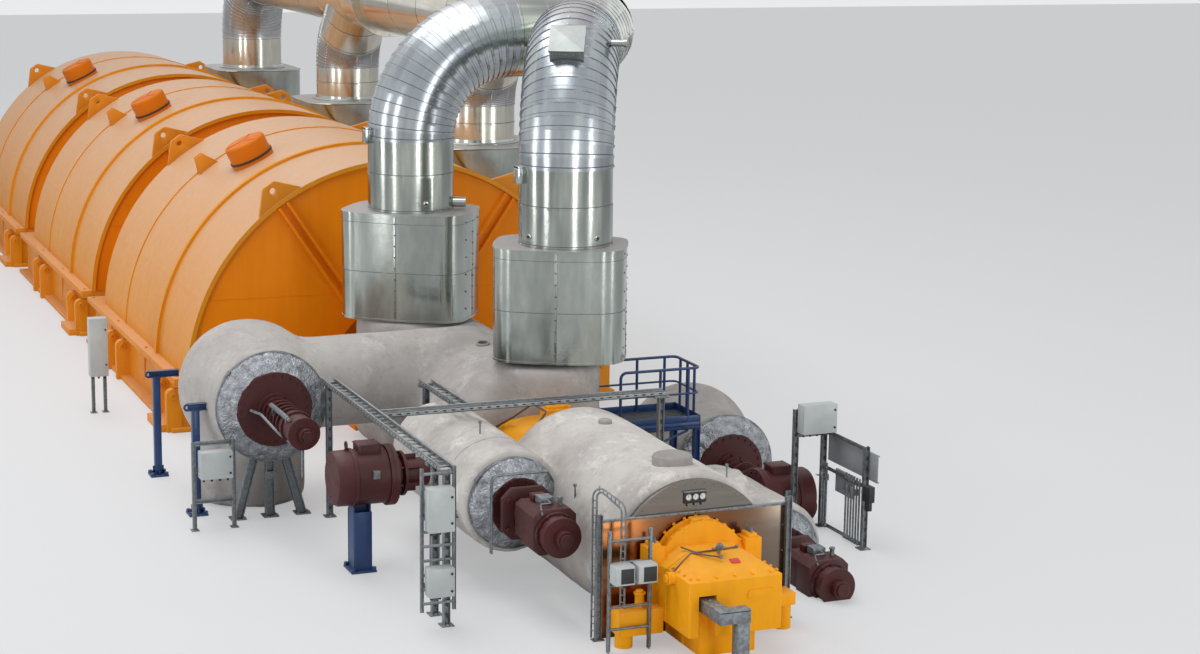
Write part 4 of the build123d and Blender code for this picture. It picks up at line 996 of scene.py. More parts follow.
# %% Outlet boxes
box_x, box_y, front_box_y, box_corner = 0.80, 1.10, 1.03, 0.20
box_low, front_box_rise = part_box("outlet_boxes")[0].z, 0.03
lid_thickness, lid_lip, rim_grow, middle_share = 0.016, 0.006, 0.010, 0.46
face_swell, side_swell = 0.034, 0.034 / 3
front_turn, rear_turn = radians(-26), radians(-36)
nail_count, nail_inset, side_nails, side_nail_step = 9, 0.06, 6, 0.15


def swell(out, along, half, most):
    """How far a point of a side moves out: most in the middle, nothing where the flat part ends."""
    return (1 if out > 0 else -1) * most * (1 - min(1, abs(along) / half) ** 2)


def round_box(bm, matrix, wide, low_z, high_z, grow=0.0, finish=0):
    """Upright box with round corners and flat ends. Its sides swell a little, as wide thin sheets do."""
    half_x, half_y = (box_x + grow) / 2, (wide + grow) / 2
    part = cube((-half_x, -half_y, low_z), (half_x, half_y, high_z))
    round_edges(part, edges_along(part, 2), box_corner + grow / 2, 14)
    level = [edge for edge in part.edges
             if abs(edge.verts[0].co.z - edge.verts[1].co.z) < 1e-4 and edge.calc_length() > 0.2]
    bmesh.ops.subdivide_edges(part, edges=level, cuts=11, use_grid_fill=False)
    flat_x, flat_y = box_x / 2 - box_corner, wide / 2 - box_corner
    for vert in part.verts:
        if abs(vert.co.x) > half_x - 1e-4:
            vert.co.x += swell(vert.co.x, vert.co.y, flat_y, face_swell)
        elif abs(vert.co.y) > half_y - 1e-4:
            vert.co.y += swell(vert.co.y, vert.co.x, flat_x, side_swell)
    join(bm, part, matrix, finish)


def nailed_seam(bm, matrix, turn, offset, low_z, high_z):
    """Upright lap on one side of a box: a fine fold, its painted shadow line and its row of nails."""
    matrix = matrix @ Matrix.Rotation(turn, 4, "Z")
    slab(bm, (offset - 0.006, -0.012, low_z), (offset + 0.0015, 0.006, high_z), 0.0007, 0, matrix)
    slab(bm, (offset - 0.006, 0.0055, low_z), (offset + 0.0008, 0.0085, high_z), 0, 1, matrix)
    for index in range(nail_count):
        z = low_z + nail_inset + index * (high_z - low_z - 2 * nail_inset) / (nail_count - 1)
        stamp(bm, dark_screw, [matrix @ facing((offset + 0.001, -0.003, z), (1, 0, 0))])


def outlet_box(bm, centre, turn, wide, low_z):
    """One box: lower and upper course, bottom rim, mid seam, lid, a seam line near the top and nailed seams.
    The dark seam lines are painted shadow.
    """
    matrix = Matrix.Translation((centre.x, centre.y, 0)) @ Matrix.Rotation(turn, 4, "Z")
    matrix = matrix @ Matrix.Translation((0, (wide - box_y) / 2, 0))
    middle = low_z + middle_share * (box_top - low_z)
    round_box(bm, matrix, wide, low_z + 0.004, middle, -0.004)
    round_box(bm, matrix, wide, middle - 0.004, box_top - 0.008)
    # Thin dark bands at the mid seam and near the top: painted shadow lines under the laps.
    round_box(bm, matrix, wide, middle - 0.008, middle - 0.0035, 0.002, 1)
    round_box(bm, matrix, wide, low_z, low_z + lid_thickness, rim_grow)
    round_box(bm, matrix, wide, box_top - lid_thickness, box_top, 2 * lid_lip)
    round_box(bm, matrix, wide, box_top - 0.082, box_top - 0.079, 0.0015, 1)
    for quarter in range(4):
        offset = box_x / 2 + face_swell if quarter % 2 == 0 else wide / 2 + side_swell
        nailed_seam(bm, matrix, quarter * pi / 2, offset, low_z + 0.02, box_top - 0.02)
    nail_x, nail_y = box_x / 2 - box_corner - 0.03, wide / 2 + 0.003
    for side in (-1, 1):
        for index in range(side_nails):
            place = matrix @ Vector((side * nail_x, nail_y, low_z + 0.1 + index * side_nail_step))
            stamp(bm, dark_screw, [facing(place, matrix.to_3x3() @ Vector((0, 1, 0)))])


bm = bmesh.new()
outlet_box(bm, front_box, front_turn, front_box_y, box_low + front_box_rise)
outlet_box(bm, rear_box, rear_turn, box_y, box_low)
finish_piece(bm, "outlet_box_sheets", [box_sheet, lap_shadow], ["outlet_boxes"])

# %% [markdown]
# The front bend carries an inspection hatch. Its lid is folded to a low pyramid, which keeps thin sheet from
# drumming, and a cone with four sides gives that fold. Plugs close test holes at the foot of each riser.

# %% Hatch, plugs and stubs
hatch_angle, hatch_half, hatch_rise, hatch_lip, hatch_pitch = radians(48), 0.14, 0.184, 0.018, 0.055
front_plugs, rear_plugs, plug_z = (-71.4, 19.9), (2.4,), 0.085
stub_way, nozzle_way = Vector((0.385, 0.923, 0)), Vector((0.446, 0.895, 0))


def hatch_matrix():
    """Frame of the hatch on the outside of the front bend, with Z outwards."""
    away = Vector((front_box.x - header_end, front_box.y - inlet_y, 0)).normalized()
    outward = away * cos(hatch_angle) + rise(1) * sin(hatch_angle)
    centre = Vector((front_box.x, front_box.y, header_z - elbow_bend)) - away * elbow_bend
    across = rise(1).cross(away)
    turn = Matrix((across, outward.cross(across), outward)).transposed().to_4x4()
    return Matrix.Translation(centre + outward * (elbow_bend + pipe_radius * 0.8)) @ turn


def make_hatch():
    """Box, lip and folded lid."""
    bm = bmesh.new()
    matrix = hatch_matrix()
    half, inner, lip_top = hatch_half, hatch_half - 0.008, hatch_rise - 0.012
    slab(bm, (-inner, -inner, -0.02), (inner, inner, hatch_rise - 0.02), 0.003, 0, matrix)
    slab(bm, (-half, -half, lip_top - hatch_lip), (half, half, lip_top), 0.002, 0, matrix)
    lid = bmesh.new()
    lid_place = Matrix.Translation((0, 0, hatch_rise - 0.0085)) @ Matrix.Rotation(pi / 4, 4, "Z")
    bmesh.ops.create_cone(lid, cap_ends=True, segments=4, radius1=half * sqrt(2), radius2=0.002, depth=0.007,
                          matrix=lid_place)
    join(bm, lid, matrix)
    screw_z = hatch_rise - 0.06
    for side in (-1, 1):
        for step in range(-2, 3):
            stamp(bm, screw, [matrix @ facing((side * inner, step * hatch_pitch, screw_z), (side, 0, 0)),
                              matrix @ facing((step * hatch_pitch, side * inner, screw_z), (0, side, 0))])
    finish_piece(bm, "hatch_lid", [dull_sheet], ["riser_hatch"], smooth=2)


def riser_fittings():
    """Dark plugs and short stubs on the risers, and the small boxes on their left sides."""
    plug_rim = [(0, 0), (0, 0.026), (0.006, 0.026), (0.010, 0.020), (0.010, 0)]
    plug_head = [(0.010, 0), (0.010, 0.014), (0.022, 0.012), (0.022, 0)]
    stub = [(0, 0), (0, 0.044), (0.115, 0.044), (0.118, 0.040), (0.118, 0)]
    nozzle = [(0, 0), (0, 0.028), (0.10, 0.028), (0.10, 0.036), (0.125, 0.036), (0.125, 0)]
    bm = bmesh.new()
    for riser, turns in ((front_box, front_plugs), (rear_box, rear_plugs)):
        for turn in turns:
            way = Vector((cos(radians(turn)), sin(radians(turn)), 0))
            place = riser + way * (pipe_radius - 0.004) + rise(plug_z)
            turned(bm, plug_rim, place, way, 24)
            turned(bm, plug_head, place, way, 4, 1)
    turned(bm, stub, rear_box + stub_way * (pipe_radius - 0.01) + rise(0.062), stub_way, 32)
    turned(bm, nozzle, (0.945, 0.735, header_z + 0.066), nozzle_way, 24)
    finish_piece(bm, "riser_fittings", [box_sheet, dark])
    bm = bmesh.new()
    for low, high in loose_boxes("riser_boxes"):
        slab(bm, low, high, 0.003)
        slab(bm, (low.x - 0.004, low.y, high.z - 0.016), (high.x + 0.004, high.y, high.z - 0.001), 0.002)
    finish_piece(bm, "riser_box_lids", [box_sheet], ["riser_boxes"])


make_hatch()
riser_fittings()

# %% [markdown]
# The crossover pipes stand on clad boxes at the hoods' right shoulders. A collar with a ring of screws closes
# the hole where each pipe goes in. The CAD node already follows the round hood below, so its copy only gets
# its edges broken, and the collars are turned on a lathe profile.

# %% Inlet boxes
softened("inlet_boxes", 0.010, box_sheet)
inlet_low, inlet_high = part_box("inlet_boxes")
inlet_length = inlet_high.x - inlet_low.x - (low_xs[0] - low_xs[-1])
print("inlet boxes", round(inlet_length, 3), "by", round(inlet_high.y - inlet_low.y, 3))
bm = bmesh.new()
for number, x in enumerate(low_xs):
    radius = header_radius if number == 2 else pipe_radius
    collar = [(-0.002, 0), (-0.002, radius + 0.055), (0.012, radius + 0.055), (0.016, radius + 0.050),
              (0.022, radius + 0.014), (0.050, radius + 0.010), (0.050, radius - 0.01)]
    turned(bm, collar, (x, inlet_y, inlet_top), (0, 0, 1), 72)
    bolt_circle(bm, screw, (x, inlet_y, inlet_top + 0.014), (0, 0, 1), radius + 0.040, 24)
finish_piece(bm, "inlet_collars", [box_sheet])

# %% [markdown]
# Plaster has no sharp inner corners: where two casings meet, the trowel leaves a soft hollow. The CAD solids
# meet in hard lines, so their copies are fused on a grid of small cells and then relaxed, which rounds every
# meeting. Last, slow noise moves the skin a few millimetres, as handwork does.

# %% Plastered casings


def plaster_body(name, parts, finish, cell, passes, lump):
    """Fuses copies of CAD nodes into one soft skin."""
    bm = bmesh.new()
    for part in parts:
        bm.from_mesh(nodes[part].data)
    bmesh.ops.remove_doubles(bm, verts=bm.verts, dist=1e-5)
    rough = bpy.data.meshes.new(name + "_rough")
    bm.to_mesh(rough)
    bm.free()
    holder = in_scene(name + "_rough", rough)
    cells = holder.modifiers.new("cells", "REMESH")
    cells.mode = "VOXEL"
    cells.voxel_size = cell
    graph = bpy.context.evaluated_depsgraph_get()
    fused = bpy.data.meshes.new_from_object(holder.evaluated_get(graph))
    bm = bmesh.new()
    bm.from_mesh(fused)
    bpy.data.objects.remove(holder)
    bpy.data.meshes.remove(fused)
    for _ in range(passes):
        bmesh.ops.smooth_vert(bm, verts=bm.verts, factor=0.5, use_axis_x=True, use_axis_y=True,
                              use_axis_z=True)
    bm.normal_update()
    for vert in bm.verts:
        push = noise.noise(vert.co * 1.7) * lump + noise.noise(vert.co * 6.0) * lump * 0.35
        vert.co += vert.normal * push
    cut = bmesh.ops.bisect_plane(bm, geom=bm.verts[:] + bm.edges[:] + bm.faces[:], plane_co=(0, 0, 0.004),
                                 plane_no=(0, 0, -1), clear_outer=True)
    rim = [edge for edge in cut["geom_cut"] if isinstance(edge, bmesh.types.BMEdge)]
    bmesh.ops.triangle_fill(bm, edges=rim, use_beauty=True)
    return finish_piece(bm, name, [finish], parts, smooth=60)


mid_parts = ["mid_casing", "mid_left_valve", "mid_right_valve"]
high_parts = ["high_casing", "high_left_chest", "high_right_chest"]
mid_skin = plaster_body("mid_plaster", mid_parts, damp_plaster, 0.032, 14, 0.012)
high_skin = plaster_body("high_plaster", high_parts, plaster, 0.026, 6, 0.009)
skins = [BVHTree.FromObject(piece, bpy.context.evaluated_depsgraph_get()) for piece in (mid_skin, high_skin)]
above_all = 4.0


def on_skin(x, y):
    """Top of the plaster above a place on the floor, and its outward direction."""
    hits = [skin.ray_cast(Vector((x, y, above_all)), rise(-1)) for skin in skins]
    return min((hit for hit in hits if hit[0] is not None), key=lambda hit: hit[3])[:2]


print("plaster top over the mid casing", [round(value, 3) for value in on_skin(0, 0)[0]])

# %% [markdown]
# Plugs in the plaster close the lifting points: flat round caps of their own, rubbed darker than the skin. A
# collar marks an open inspection hole, whose dark bottom is painted shade, thin dark lines of painted shade
# mark where a removable slab was cut, and short pins carry test wires. Each is set on the skin by a ray from
# above, so it follows the softened shape.

# %% Caps and marks in the plaster
caps = ((3.875, 0.0, 0.140, 0.056), (2.68, 0.0, 0.050, 0.032), (1.02, -0.10, 0.085, 0.030))
pins, pin_height = ((2.45, -0.888), (3.42, -0.53), (4.10, 0.308)), 0.085
slab_corner, slab_foot, slab_end = (2.60, -0.50), (2.60, -1.215), (2.97, -0.60)
inspection_place = (0.257, -0.086)


def plaster_cap(bm, x, y, radius, height):
    """Round cap with soft edges, sunk into the skin."""
    place, out = on_skin(x, y)
    out = Vector(out).lerp(rise(1), 0.7).normalized()
    profile = [(-0.05, 0), (-0.05, radius), (height * 0.62, radius), (height * 0.86, radius - 0.006),
               (height, radius - 0.020), (height, radius * 0.4), (height, 0)]
    turned(bm, profile, place, out, 64)


def slit(bm, path, width=0.0035, depth=0.002):
    """Thin dark line along points on the skin: painted shade where the slab was cut."""
    points = [on_skin(x, y)[0] for x, y in path]
    for first, second in zip(points, points[1:]):
        rod(bm, first - rise(depth), second - rise(depth), width, 6, 1)


def along_line(start, end, count):
    """Evenly spaced places between two points on the floor plan."""
    return [tuple(Vector(start).lerp(Vector(end), index / count)) for index in range(count + 1)]


def inspection_hole(bm):
    """Open collar with a dark disc of painted shade at its bottom."""
    collar = [(-0.05, 0), (-0.05, 0.060), (0.010, 0.060), (0.018, 0.054), (0.018, 0.042), (-0.02, 0.042)]
    place, out = on_skin(*inspection_place)
    turned(bm, collar, place, out, 40)
    turned(bm, [(-0.02, 0), (-0.02, 0.043), (0.004, 0.043), (0.004, 0)], place, out, 40, 1)


def test_pin(bm, x, y):
    """Upright pin with a round head."""
    place = on_skin(x, y)[0]
    head = [(0, 0), (0, 0.012), (0.02, 0.012), (0.02, 0)]
    rod(bm, place - rise(0.01), place + rise(pin_height), 0.006, 8, 2)
    turned(bm, head, place + rise(pin_height - 0.01), (0, 0, 1), 12, 2)


bm = bmesh.new()
for x, y, radius, height in caps:
    plaster_cap(bm, x, y, radius, height)
finish_piece(bm, "plaster_caps", [cap_plaster], ["high_caps"])
bm = bmesh.new()
inspection_hole(bm)
slit(bm, along_line(slab_foot, slab_corner, 16))
slit(bm, along_line(slab_corner, slab_end, 10))
for x, y in pins:
    test_pin(bm, x, y)
finish_piece(bm, "plaster_marks", [cap_plaster, dark, zinc])

# %% [markdown]
# Foil rings: the profile is turned, then its points are pushed about with noise, so that the outline is
# crumpled too. A steel strap holds the outer edge, with a buckle where its ends meet.

# %% Foil rings
mid_faces = [(0.66, -1.985, 0.91), (0.66, 1.95, 0.095)]
high_faces = [(3.0, -0.84, 0.635), (3.1, 1.215, 0.095)]
chest_back = (1.28, -0.84, 0.635)
ring_depth, ring_cone = 0.06, 0.07


def foil_ring(bm, place, outer, inner, depth, cone):
    """One crumpled ring with its strap, round an axis along X."""
    x, y, z = place
    ring = bmesh.new()
    profile = [(-0.02, outer * 0.99), (depth * 0.5, outer), (depth, outer - 0.02)]
    profile += [(depth + cone * part, outer - 0.02 - (outer - inner - 0.02) * part)
                for part in (0.15, 0.3, 0.45, 0.6, 0.75, 0.9, 1.0)]
    profile.append((depth + cone * 0.2, inner - 0.01))
    turned(ring, profile, (x, y, z), (1, 0, 0), 144)
    for vert in ring.verts:
        vert.co.x += noise.noise(vert.co * 13) * 0.016 + noise.noise(vert.co * 31) * 0.008
        reach = Vector((0, vert.co.y - y, vert.co.z - z)).normalized()
        vert.co += reach * noise.noise(vert.co * 17 + Vector((5, 0, 0))) * 0.009
    join(bm, ring)
    strap = [(0.004, outer * 0.985), (0.004, outer + 0.004), (0.034, outer + 0.004), (0.034, outer * 0.985)]
    turned(bm, strap, (x, y, z), (1, 0, 0), 96, 1)
    buckle = Matrix.Translation((x + 0.019, y, z)) @ Matrix.Rotation(radians(52), 4, "X")
    slab(bm, (-0.02, -0.035, outer), (0.02, 0.035, outer + 0.012), 0.002, 1, buckle)


def above_floor(bm):
    """Cuts a working mesh off just above the floor."""
    bmesh.ops.bisect_plane(bm, geom=bm.verts[:] + bm.edges[:] + bm.faces[:], plane_co=(0, 0, 0.002),
                           plane_no=(0, 0, -1), clear_outer=True)


bm = bmesh.new()
for place in mid_faces:
    foil_ring(bm, place, 0.436, 0.295, ring_depth, ring_cone)
above_floor(bm)
finish_piece(bm, "mid_foil", [foil, zinc], ["mid_rings"], smooth=80)
bm = bmesh.new()
for place in high_faces:
    foil_ring(bm, place, 0.33, 0.212, ring_depth, ring_cone)
foil_ring(bm, chest_back, 0.33, 0.27, 0.03, 0.03)
above_floor(bm)
finish_piece(bm, "high_foil", [foil, zinc], ["high_rings"], smooth=80)

# %% [markdown]
# A valve servo is turned work on one axis: a big cover disc with a ring of bolts, a neck, a stack of thin
# spring plates, and a cylinder with an end cap. One profile, read along the axis, gives all of it, so each
# servo is a list of steps: how far along, and how wide. Rods and a travel gauge run beside the stack.

# %% Valve servo helpers


def stepped(steps, edge=0.003):
    """Profile from (start, end, radius) steps, with each rim a little broken."""
    points = [(steps[0][0], 0)]
    for start, end, radius in steps:
        soft = min(edge, (end - start) / 3)
        points += [(start, radius - soft), (start + soft, radius), (end - soft, radius), (end, radius - soft)]
    points.append((steps[-1][1], 0))
    return points


def plates(start, end, neck, wide, count, thickness=0.014):
    """Steps of thin spring plates on a neck."""
    pitch = (end - start) / count
    steps = []
    for index in range(count):
        at = start + index * pitch
        steps += [(at, at + pitch - thickness, neck), (at + pitch - thickness, at + pitch, wide)]
    return steps


def cover_disc(bm, place, radius, bolts):
    """Cover disc, its bolts and the hub in its middle."""
    steps = [(-0.05, 0.014, radius), (0.014, 0.034, radius * 0.46), (0.034, 0.060, radius * 0.36)]
    turned(bm, stepped(steps), place, (1, 0, 0), 72)
    bolt_circle(bm, nut, Vector(place) + Vector((0.013, 0, 0)), (1, 0, 0), radius * 0.91, bolts)
    bolt_circle(bm, nut, Vector(place) + Vector((0.033, 0, 0)), (1, 0, 0), radius * 0.41, 8)


def mid_servo(bm, place, stack, drum):
    """Servo of a reheat valve: disc, spring plates, drum and hexagon end."""
    x, y, z = place
    cover_disc(bm, place, 0.294, 24)
    steps = [(0.05, 0.12, 0.085)] + plates(0.12, stack, 0.066, 0.118, 5)
    steps += [(stack, stack + 0.05, 0.085), (stack + 0.05, stack + 0.074, 0.130)]
    steps += [(stack + 0.074, drum, 0.112), (drum, drum + 0.022, 0.124), (drum + 0.022, drum + 0.10, 0.054)]
    turned(bm, stepped(steps), place, (1, 0, 0), 56)
    turned(bm, [(drum + 0.10, 0), (drum + 0.10, 0.042), (drum + 0.135, 0.042), (drum + 0.135, 0)], place,
           (1, 0, 0), 6)
    bolt_circle(bm, nut, (x + stack + 0.074, y, z), (1, 0, 0), 0.121, 8)
    bolt_circle(bm, screw, (x + drum + 0.022, y, z), (1, 0, 0), 0.092, 10)
    for turn in (40, 140, 220, 320):
        side = Vector((0, cos(radians(turn)), sin(radians(turn)))) * 0.098
        rod(bm, Vector((x + 0.03, y, z)) + side, Vector((x + stack + 0.06, y, z)) + side, 0.009)


# %% Servos of the reheat valves
servo_shift = 0.13
gauge_y, gauge_z, gauge_start, gauge_end = -2.075, 1.005, 1.04, 1.53


def travel_gauge(bm):
    """Round gauge beside the left servo on two brackets, its lever and the drain under the drum."""
    rod(bm, (gauge_start, gauge_y, gauge_z), (gauge_end, gauge_y, gauge_z), 0.019, 16, 1)
    rod(bm, (gauge_end, gauge_y, gauge_z), (gauge_end + 0.04, gauge_y, gauge_z), 0.012, 12, 1)
    for x in (gauge_start + 0.05, gauge_end - 0.05):
        slab(bm, (x - 0.006, gauge_y - 0.010, 0.93), (x + 0.006, gauge_y + 0.020, 0.99), 0.001, 1)
    lever = [(0.86, -2.19, 0.93), (1.02, -2.15, 0.93), (1.30, -2.09, 0.845), (1.62, -2.03, 0.80)]
    bent_tube(bm, lever, 0.06, 0.011, 10, 1)
    rod(bm, (1.60, -1.985, 0.80), (1.60, -1.985, 0.57), 0.012, 12, 1)


bm = bmesh.new()
for (x, y, z), stack, drum in zip(mid_faces, (0.58, 0.95), (0.84, 1.32)):
    mid_servo(bm, (x + servo_shift, y, z), stack, drum)
travel_gauge(bm)
above_floor(bm)
finish_piece(bm, "mid_servos", [red, zinc], ["mid_actuators"], smooth=30)

# %% [markdown]
# The high-pressure servos are stouter. A square flange with cut corners sits behind a cast block, and the
# cylinder comes out of the block. A cube bevelled on four of its edges gives the block, since a cast corner
# here is a flat cut and not a round.

# %% Servos of the high-pressure valves


def cut_block(bm, low, high, cut, axis=0, finish=0):
    """Box whose four edges along one axis are cut flat, and all others slightly broken."""
    part = cube(low, high)
    round_edges(part, edges_along(part, axis), cut, 1)
    round_edges(part, [edge for edge in part.edges if edge.calc_face_angle() > radians(60)], 0.004)
    join(bm, part, finish=finish)


def servo_top(bm, x, y, z):
    """Pad, terminal box, plug and wire tube on top of the cast block."""
    plug = stepped([(0, 0.05, 0.017), (0.05, 0.065, 0.022)])
    wire = [(x + 0.56, y, z + 0.19), (x + 0.63, y, z + 0.19), (x + 0.63, y - 0.08, z + 0.19),
            (x + 0.72, y - 0.10, z + 0.14)]
    slab(bm, (x + 0.34, y - 0.05, z + 0.145), (x + 0.42, y + 0.05, z + 0.195), 0.004)
    slab(bm, (x + 0.46, y - 0.055, z + 0.165), (x + 0.56, y + 0.045, z + 0.215), 0.005, 1)
    turned(bm, plug, (x + 0.60, y + 0.075, z + 0.16), (0, 0, 1), 16, 1)
    bent_tube(bm, wire, 0.018, 0.006, 8, 1)


def high_servo(bm, place):
    """Disc, square flange, neck, cast block and cylinder, with fittings on top."""
    x, y, z = place
    cover_disc(bm, place, 0.210, 20)
    turned(bm, stepped([(0.05, 0.14, 0.115), (0.18, 0.30, 0.105)]), place, (1, 0, 0), 48)
    cut_block(bm, (x + 0.13, y - 0.185, z - 0.185), (x + 0.175, y + 0.185, z + 0.185), 0.07)
    cut_block(bm, (x + 0.29, y - 0.135, z - 0.135), (x + 0.50, y + 0.135, z + 0.145), 0.035)
    cut_block(bm, (x + 0.50, y - 0.155, z - 0.150), (x + 0.70, y + 0.155, z + 0.165), 0.045)
    steps = [(0.70, 0.735, 0.150), (0.735, 0.82, 0.132), (0.82, 0.84, 0.140), (0.84, 0.905, 0.062),
             (0.905, 0.925, 0.045)]
    turned(bm, stepped(steps), place, (1, 0, 0), 56)
    bolt_circle(bm, nut, (x + 0.735, y, z), (1, 0, 0), 0.141, 12)
    nut_y, nut_z, stay = 0.145, 0.105, 0.088
    for way_y in (-1, 1):
        for way_z in (-1, 1):
            head = (x + 0.175, y + way_y * nut_y, z + way_z * nut_z)
            turned(bm, stepped([(0, 0.028, 0.017)]), head, (1, 0, 0), 6)
            stay_y, stay_z = y + way_y * stay, z + way_z * stay
            rod(bm, (x + 0.15, stay_y, stay_z), (x + 0.32, stay_y, stay_z), 0.013)
    servo_top(bm, x, y, z)


def servo_frame(bm, x, y, z, half, top):
    """Two bent tubes with rungs that carry the servo's wires up one side and over it."""
    wide, side_rungs, top_rungs = 0.028, 9, 8
    for at in (x, x + wide):
        bent_tube(bm, [(at, y - half, z), (at, y - half, top), (at, y + half * 0.8, top)], 0.05, 0.007, 8, 1)
    for index in range(side_rungs):
        at = z + 0.03 + index * (top - z - 0.08) / (side_rungs - 1)
        rod(bm, (x, y - half, at), (x + wide, y - half, at), 0.004, 6, 1)
    for index in range(top_rungs):
        at = y - half + 0.06 + index * (1.8 * half - 0.08) / (top_rungs - 1)
        rod(bm, (x, at, top), (x + wide, at, top), 0.004, 6, 1)


bm = bmesh.new()
for x, y, z in high_faces:
    high_servo(bm, (x + servo_shift, y, z))
servo_frame(bm, 3.20, -0.84, 0.34, 0.235, 0.90)
above_floor(bm)
finish_piece(bm, "high_servos", [red, zinc], ["high_actuators"], smooth=30)

# %% [markdown]
# The stop-valve actuators stand at the sides, each on a post: a ribbed neck, a flange with bolts, and a drum
# with a rounded end. A terminal box and a lifting eye sit on top. The eye is a torus, which a spin of a small
# circle makes.

# %% Side actuators
side_x, drum_start, drum_length, eye_y, box_start, box_end = 2.2, 1.51, 0.430, 1.825, 1.586, 1.754
rib_count, rib_radius = 6, 0.118


def lifting_eye(bm, place, radius, thickness):
    """Ring that stands up on a round foot."""
    part = bmesh.new()
    upright = Matrix.Rotation(pi / 2, 4, "X")
    ring = bmesh.ops.create_circle(part, segments=10, radius=thickness,
                                   matrix=Matrix.Translation((radius, 0, 0)) @ upright)
    edges = list({edge for vert in ring["verts"] for edge in vert.link_edges})
    bmesh.ops.spin(part, geom=ring["verts"] + edges, cent=(0, 0, 0), axis=(0, 0, 1), angle=2 * pi, steps=28,
                   use_merge=True)
    bmesh.ops.remove_doubles(part, verts=part.verts, dist=1e-6)
    join(bm, part, Matrix.Translation(Vector(place) + rise(radius + 0.01)) @ upright)
    turned(bm, stepped([(-0.012, 0.014, thickness * 2)]), place, (0, 0, 1), 16)


def side_actuator(bm, side, z, neck_y):
    """Neck with ribs, flange, drum, terminal box and fittings."""
    start = neck_y - drum_start
    steps = [(start, -0.11, 0.105), (-0.11, -0.085, 0.165), (-0.085, -0.03, 0.110), (-0.03, 0.0, 0.225),
             (0.004, 0.034, 0.225), (0.034, 0.27, 0.205), (0.27, 0.30, 0.214)]
    round_end = [(0.30, 0.205), (0.395, 0.203), (0.418, 0.190), (drum_length, 0.160), (drum_length, 0)]
    turned(bm, stepped(steps)[:-1] + round_end, (side_x, side * drum_start, z), (0, side, 0), 64)
    bolt_circle(bm, nut, (side_x, side * (drum_start - 0.03), z), (0, -side, 0), 0.195, 16)
    bolt_circle(bm, screw, (side_x, side * (drum_start + drum_length), z), (0, side, 0), 0.13, 8)
    y0, y1 = sorted((side * box_start, side * box_end))
    cut_block(bm, (side_x - 0.075, y0, z + 0.15), (side_x + 0.085, y1, z + 0.255), 0.012, 2)
    slab(bm, (side_x - 0.080, y0 - 0.005, z + 0.243), (side_x + 0.090, y1 + 0.005, z + 0.2495), 0.002)
    for corner_x in (-0.06, 0.07):
        for corner_y in (y0 + 0.015, y1 - 0.015):
            stand(bm, screw, [(side_x + corner_x, corner_y, z + 0.255)])
    plate_y = side * 1.66
    slab(bm, (side_x + 0.20, plate_y - 0.025, z + 0.03), (side_x + 0.225, plate_y + 0.025, z + 0.09),
         0.003, 1)
    lifting_eye(bm, (side_x, side * eye_y, z + 0.205), 0.026, 0.007)
    for index in range(rib_count):
        turn = radians(30 + 360 / rib_count * index)
        way = Vector((cos(turn), 0, sin(turn)))
        middle = Vector((side_x, side * (drum_start - 0.12), z)) + way * rib_radius
        matrix = Matrix.Translation(middle) @ Matrix.Rotation(-turn, 4, "Y")
        slab(bm, (-0.022, -0.09, -0.007), (0.022, 0.09, 0.007), 0.002, 0, matrix)


bm = bmesh.new()
side_actuator(bm, -1, 0.70, 1.16)
side_actuator(bm, 1, 0.25, 1.40)
above_floor(bm)
finish_piece(bm, "side_actuator_drums", [red, zinc], ["side_actuators"], smooth=30)

# %% [markdown]
# Bearing housings are thick orange castings and plates. Their copies get broken edges, since no casting has a
# knife edge, and then a fitter's things are added: nuts round the cap, pads with pairs of large nuts, and a
# short copper oil line.

# %% Bearings and end walls
shaft_z, cap_pitch = 0.475, 15
for name in ("low1_end_walls", "low2_end_walls", "low3_end_walls"):
    softened(name, 0.005, enamel_wall)
for name in ("low_mid_bearing", "coupling_covers", "rear_bearing"):
    softened(name, 0.008, enamel_wall)
softened("mid_high_bearing", 0.010, enamel_front)
copper = make_painted("copper_tube", tone(92, 62, 48), tone(114, 82, 66), 0.35, 0.05, 0.0)
plate_red = make_painted("plate_red", tone(196, 40, 46), tone(212, 58, 62), 0.4, 0.05, 0.0)


def cap_nuts(bm, x, radius, last_turn):
    """Nuts over the top of a bearing cap, round the shaft's axis."""
    for turn in range(-last_turn, last_turn + 1, cap_pitch):
        way = Vector((0, sin(radians(turn)), cos(radians(turn))))
        stamp(bm, nut, [facing(Vector((x, 0, shaft_z)) + way * radius, way)])


def make_bearing_fittings():
    """Two pads with pairs of large nuts, cap nuts and one copper oil line on the middle bearing."""
    low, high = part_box("mid_high_bearing")
    pad_half, pad_rise, pair_half = 0.035, 0.018, 0.04
    bm = bmesh.new()
    for x in (low.x + 0.112, low.x + 0.375):
        for y in (-0.018, 0.057, 0.122):
            stand(bm, large_nut, [(x + shift, y, high.z) for shift in (-pair_half, pair_half)])
        cut_block(bm, (x - pad_half, -0.055, high.z - 0.06), (x + pad_half, 0.125, high.z + pad_rise),
                  0.008, 2)
    for x in (low.x + 0.05, low.x + 0.60):
        cap_nuts(bm, x, 0.398, 60)
    oil_line = [(low.x + 0.02, -0.33, 0.75), (low.x + 0.20, -0.26, 0.86), (low.x + 0.26, -0.12, 0.97),
                (low.x + 0.55, -0.12, 0.97), (low.x + 0.62, -0.30, 0.78)]
    bent_tube(bm, oil_line, 0.03, 0.009, 10, 1)
    finish_piece(bm, "bearing_fittings", [enamel_front, copper])


make_bearing_fittings()

# %% [markdown]
# The front pedestal carries the shaft's free end. Small things tell its size: bolts along the eaves of the
# lid, a blank pad on the front, lugs, studs on the side blocks, and thin oil lines that follow the roof.

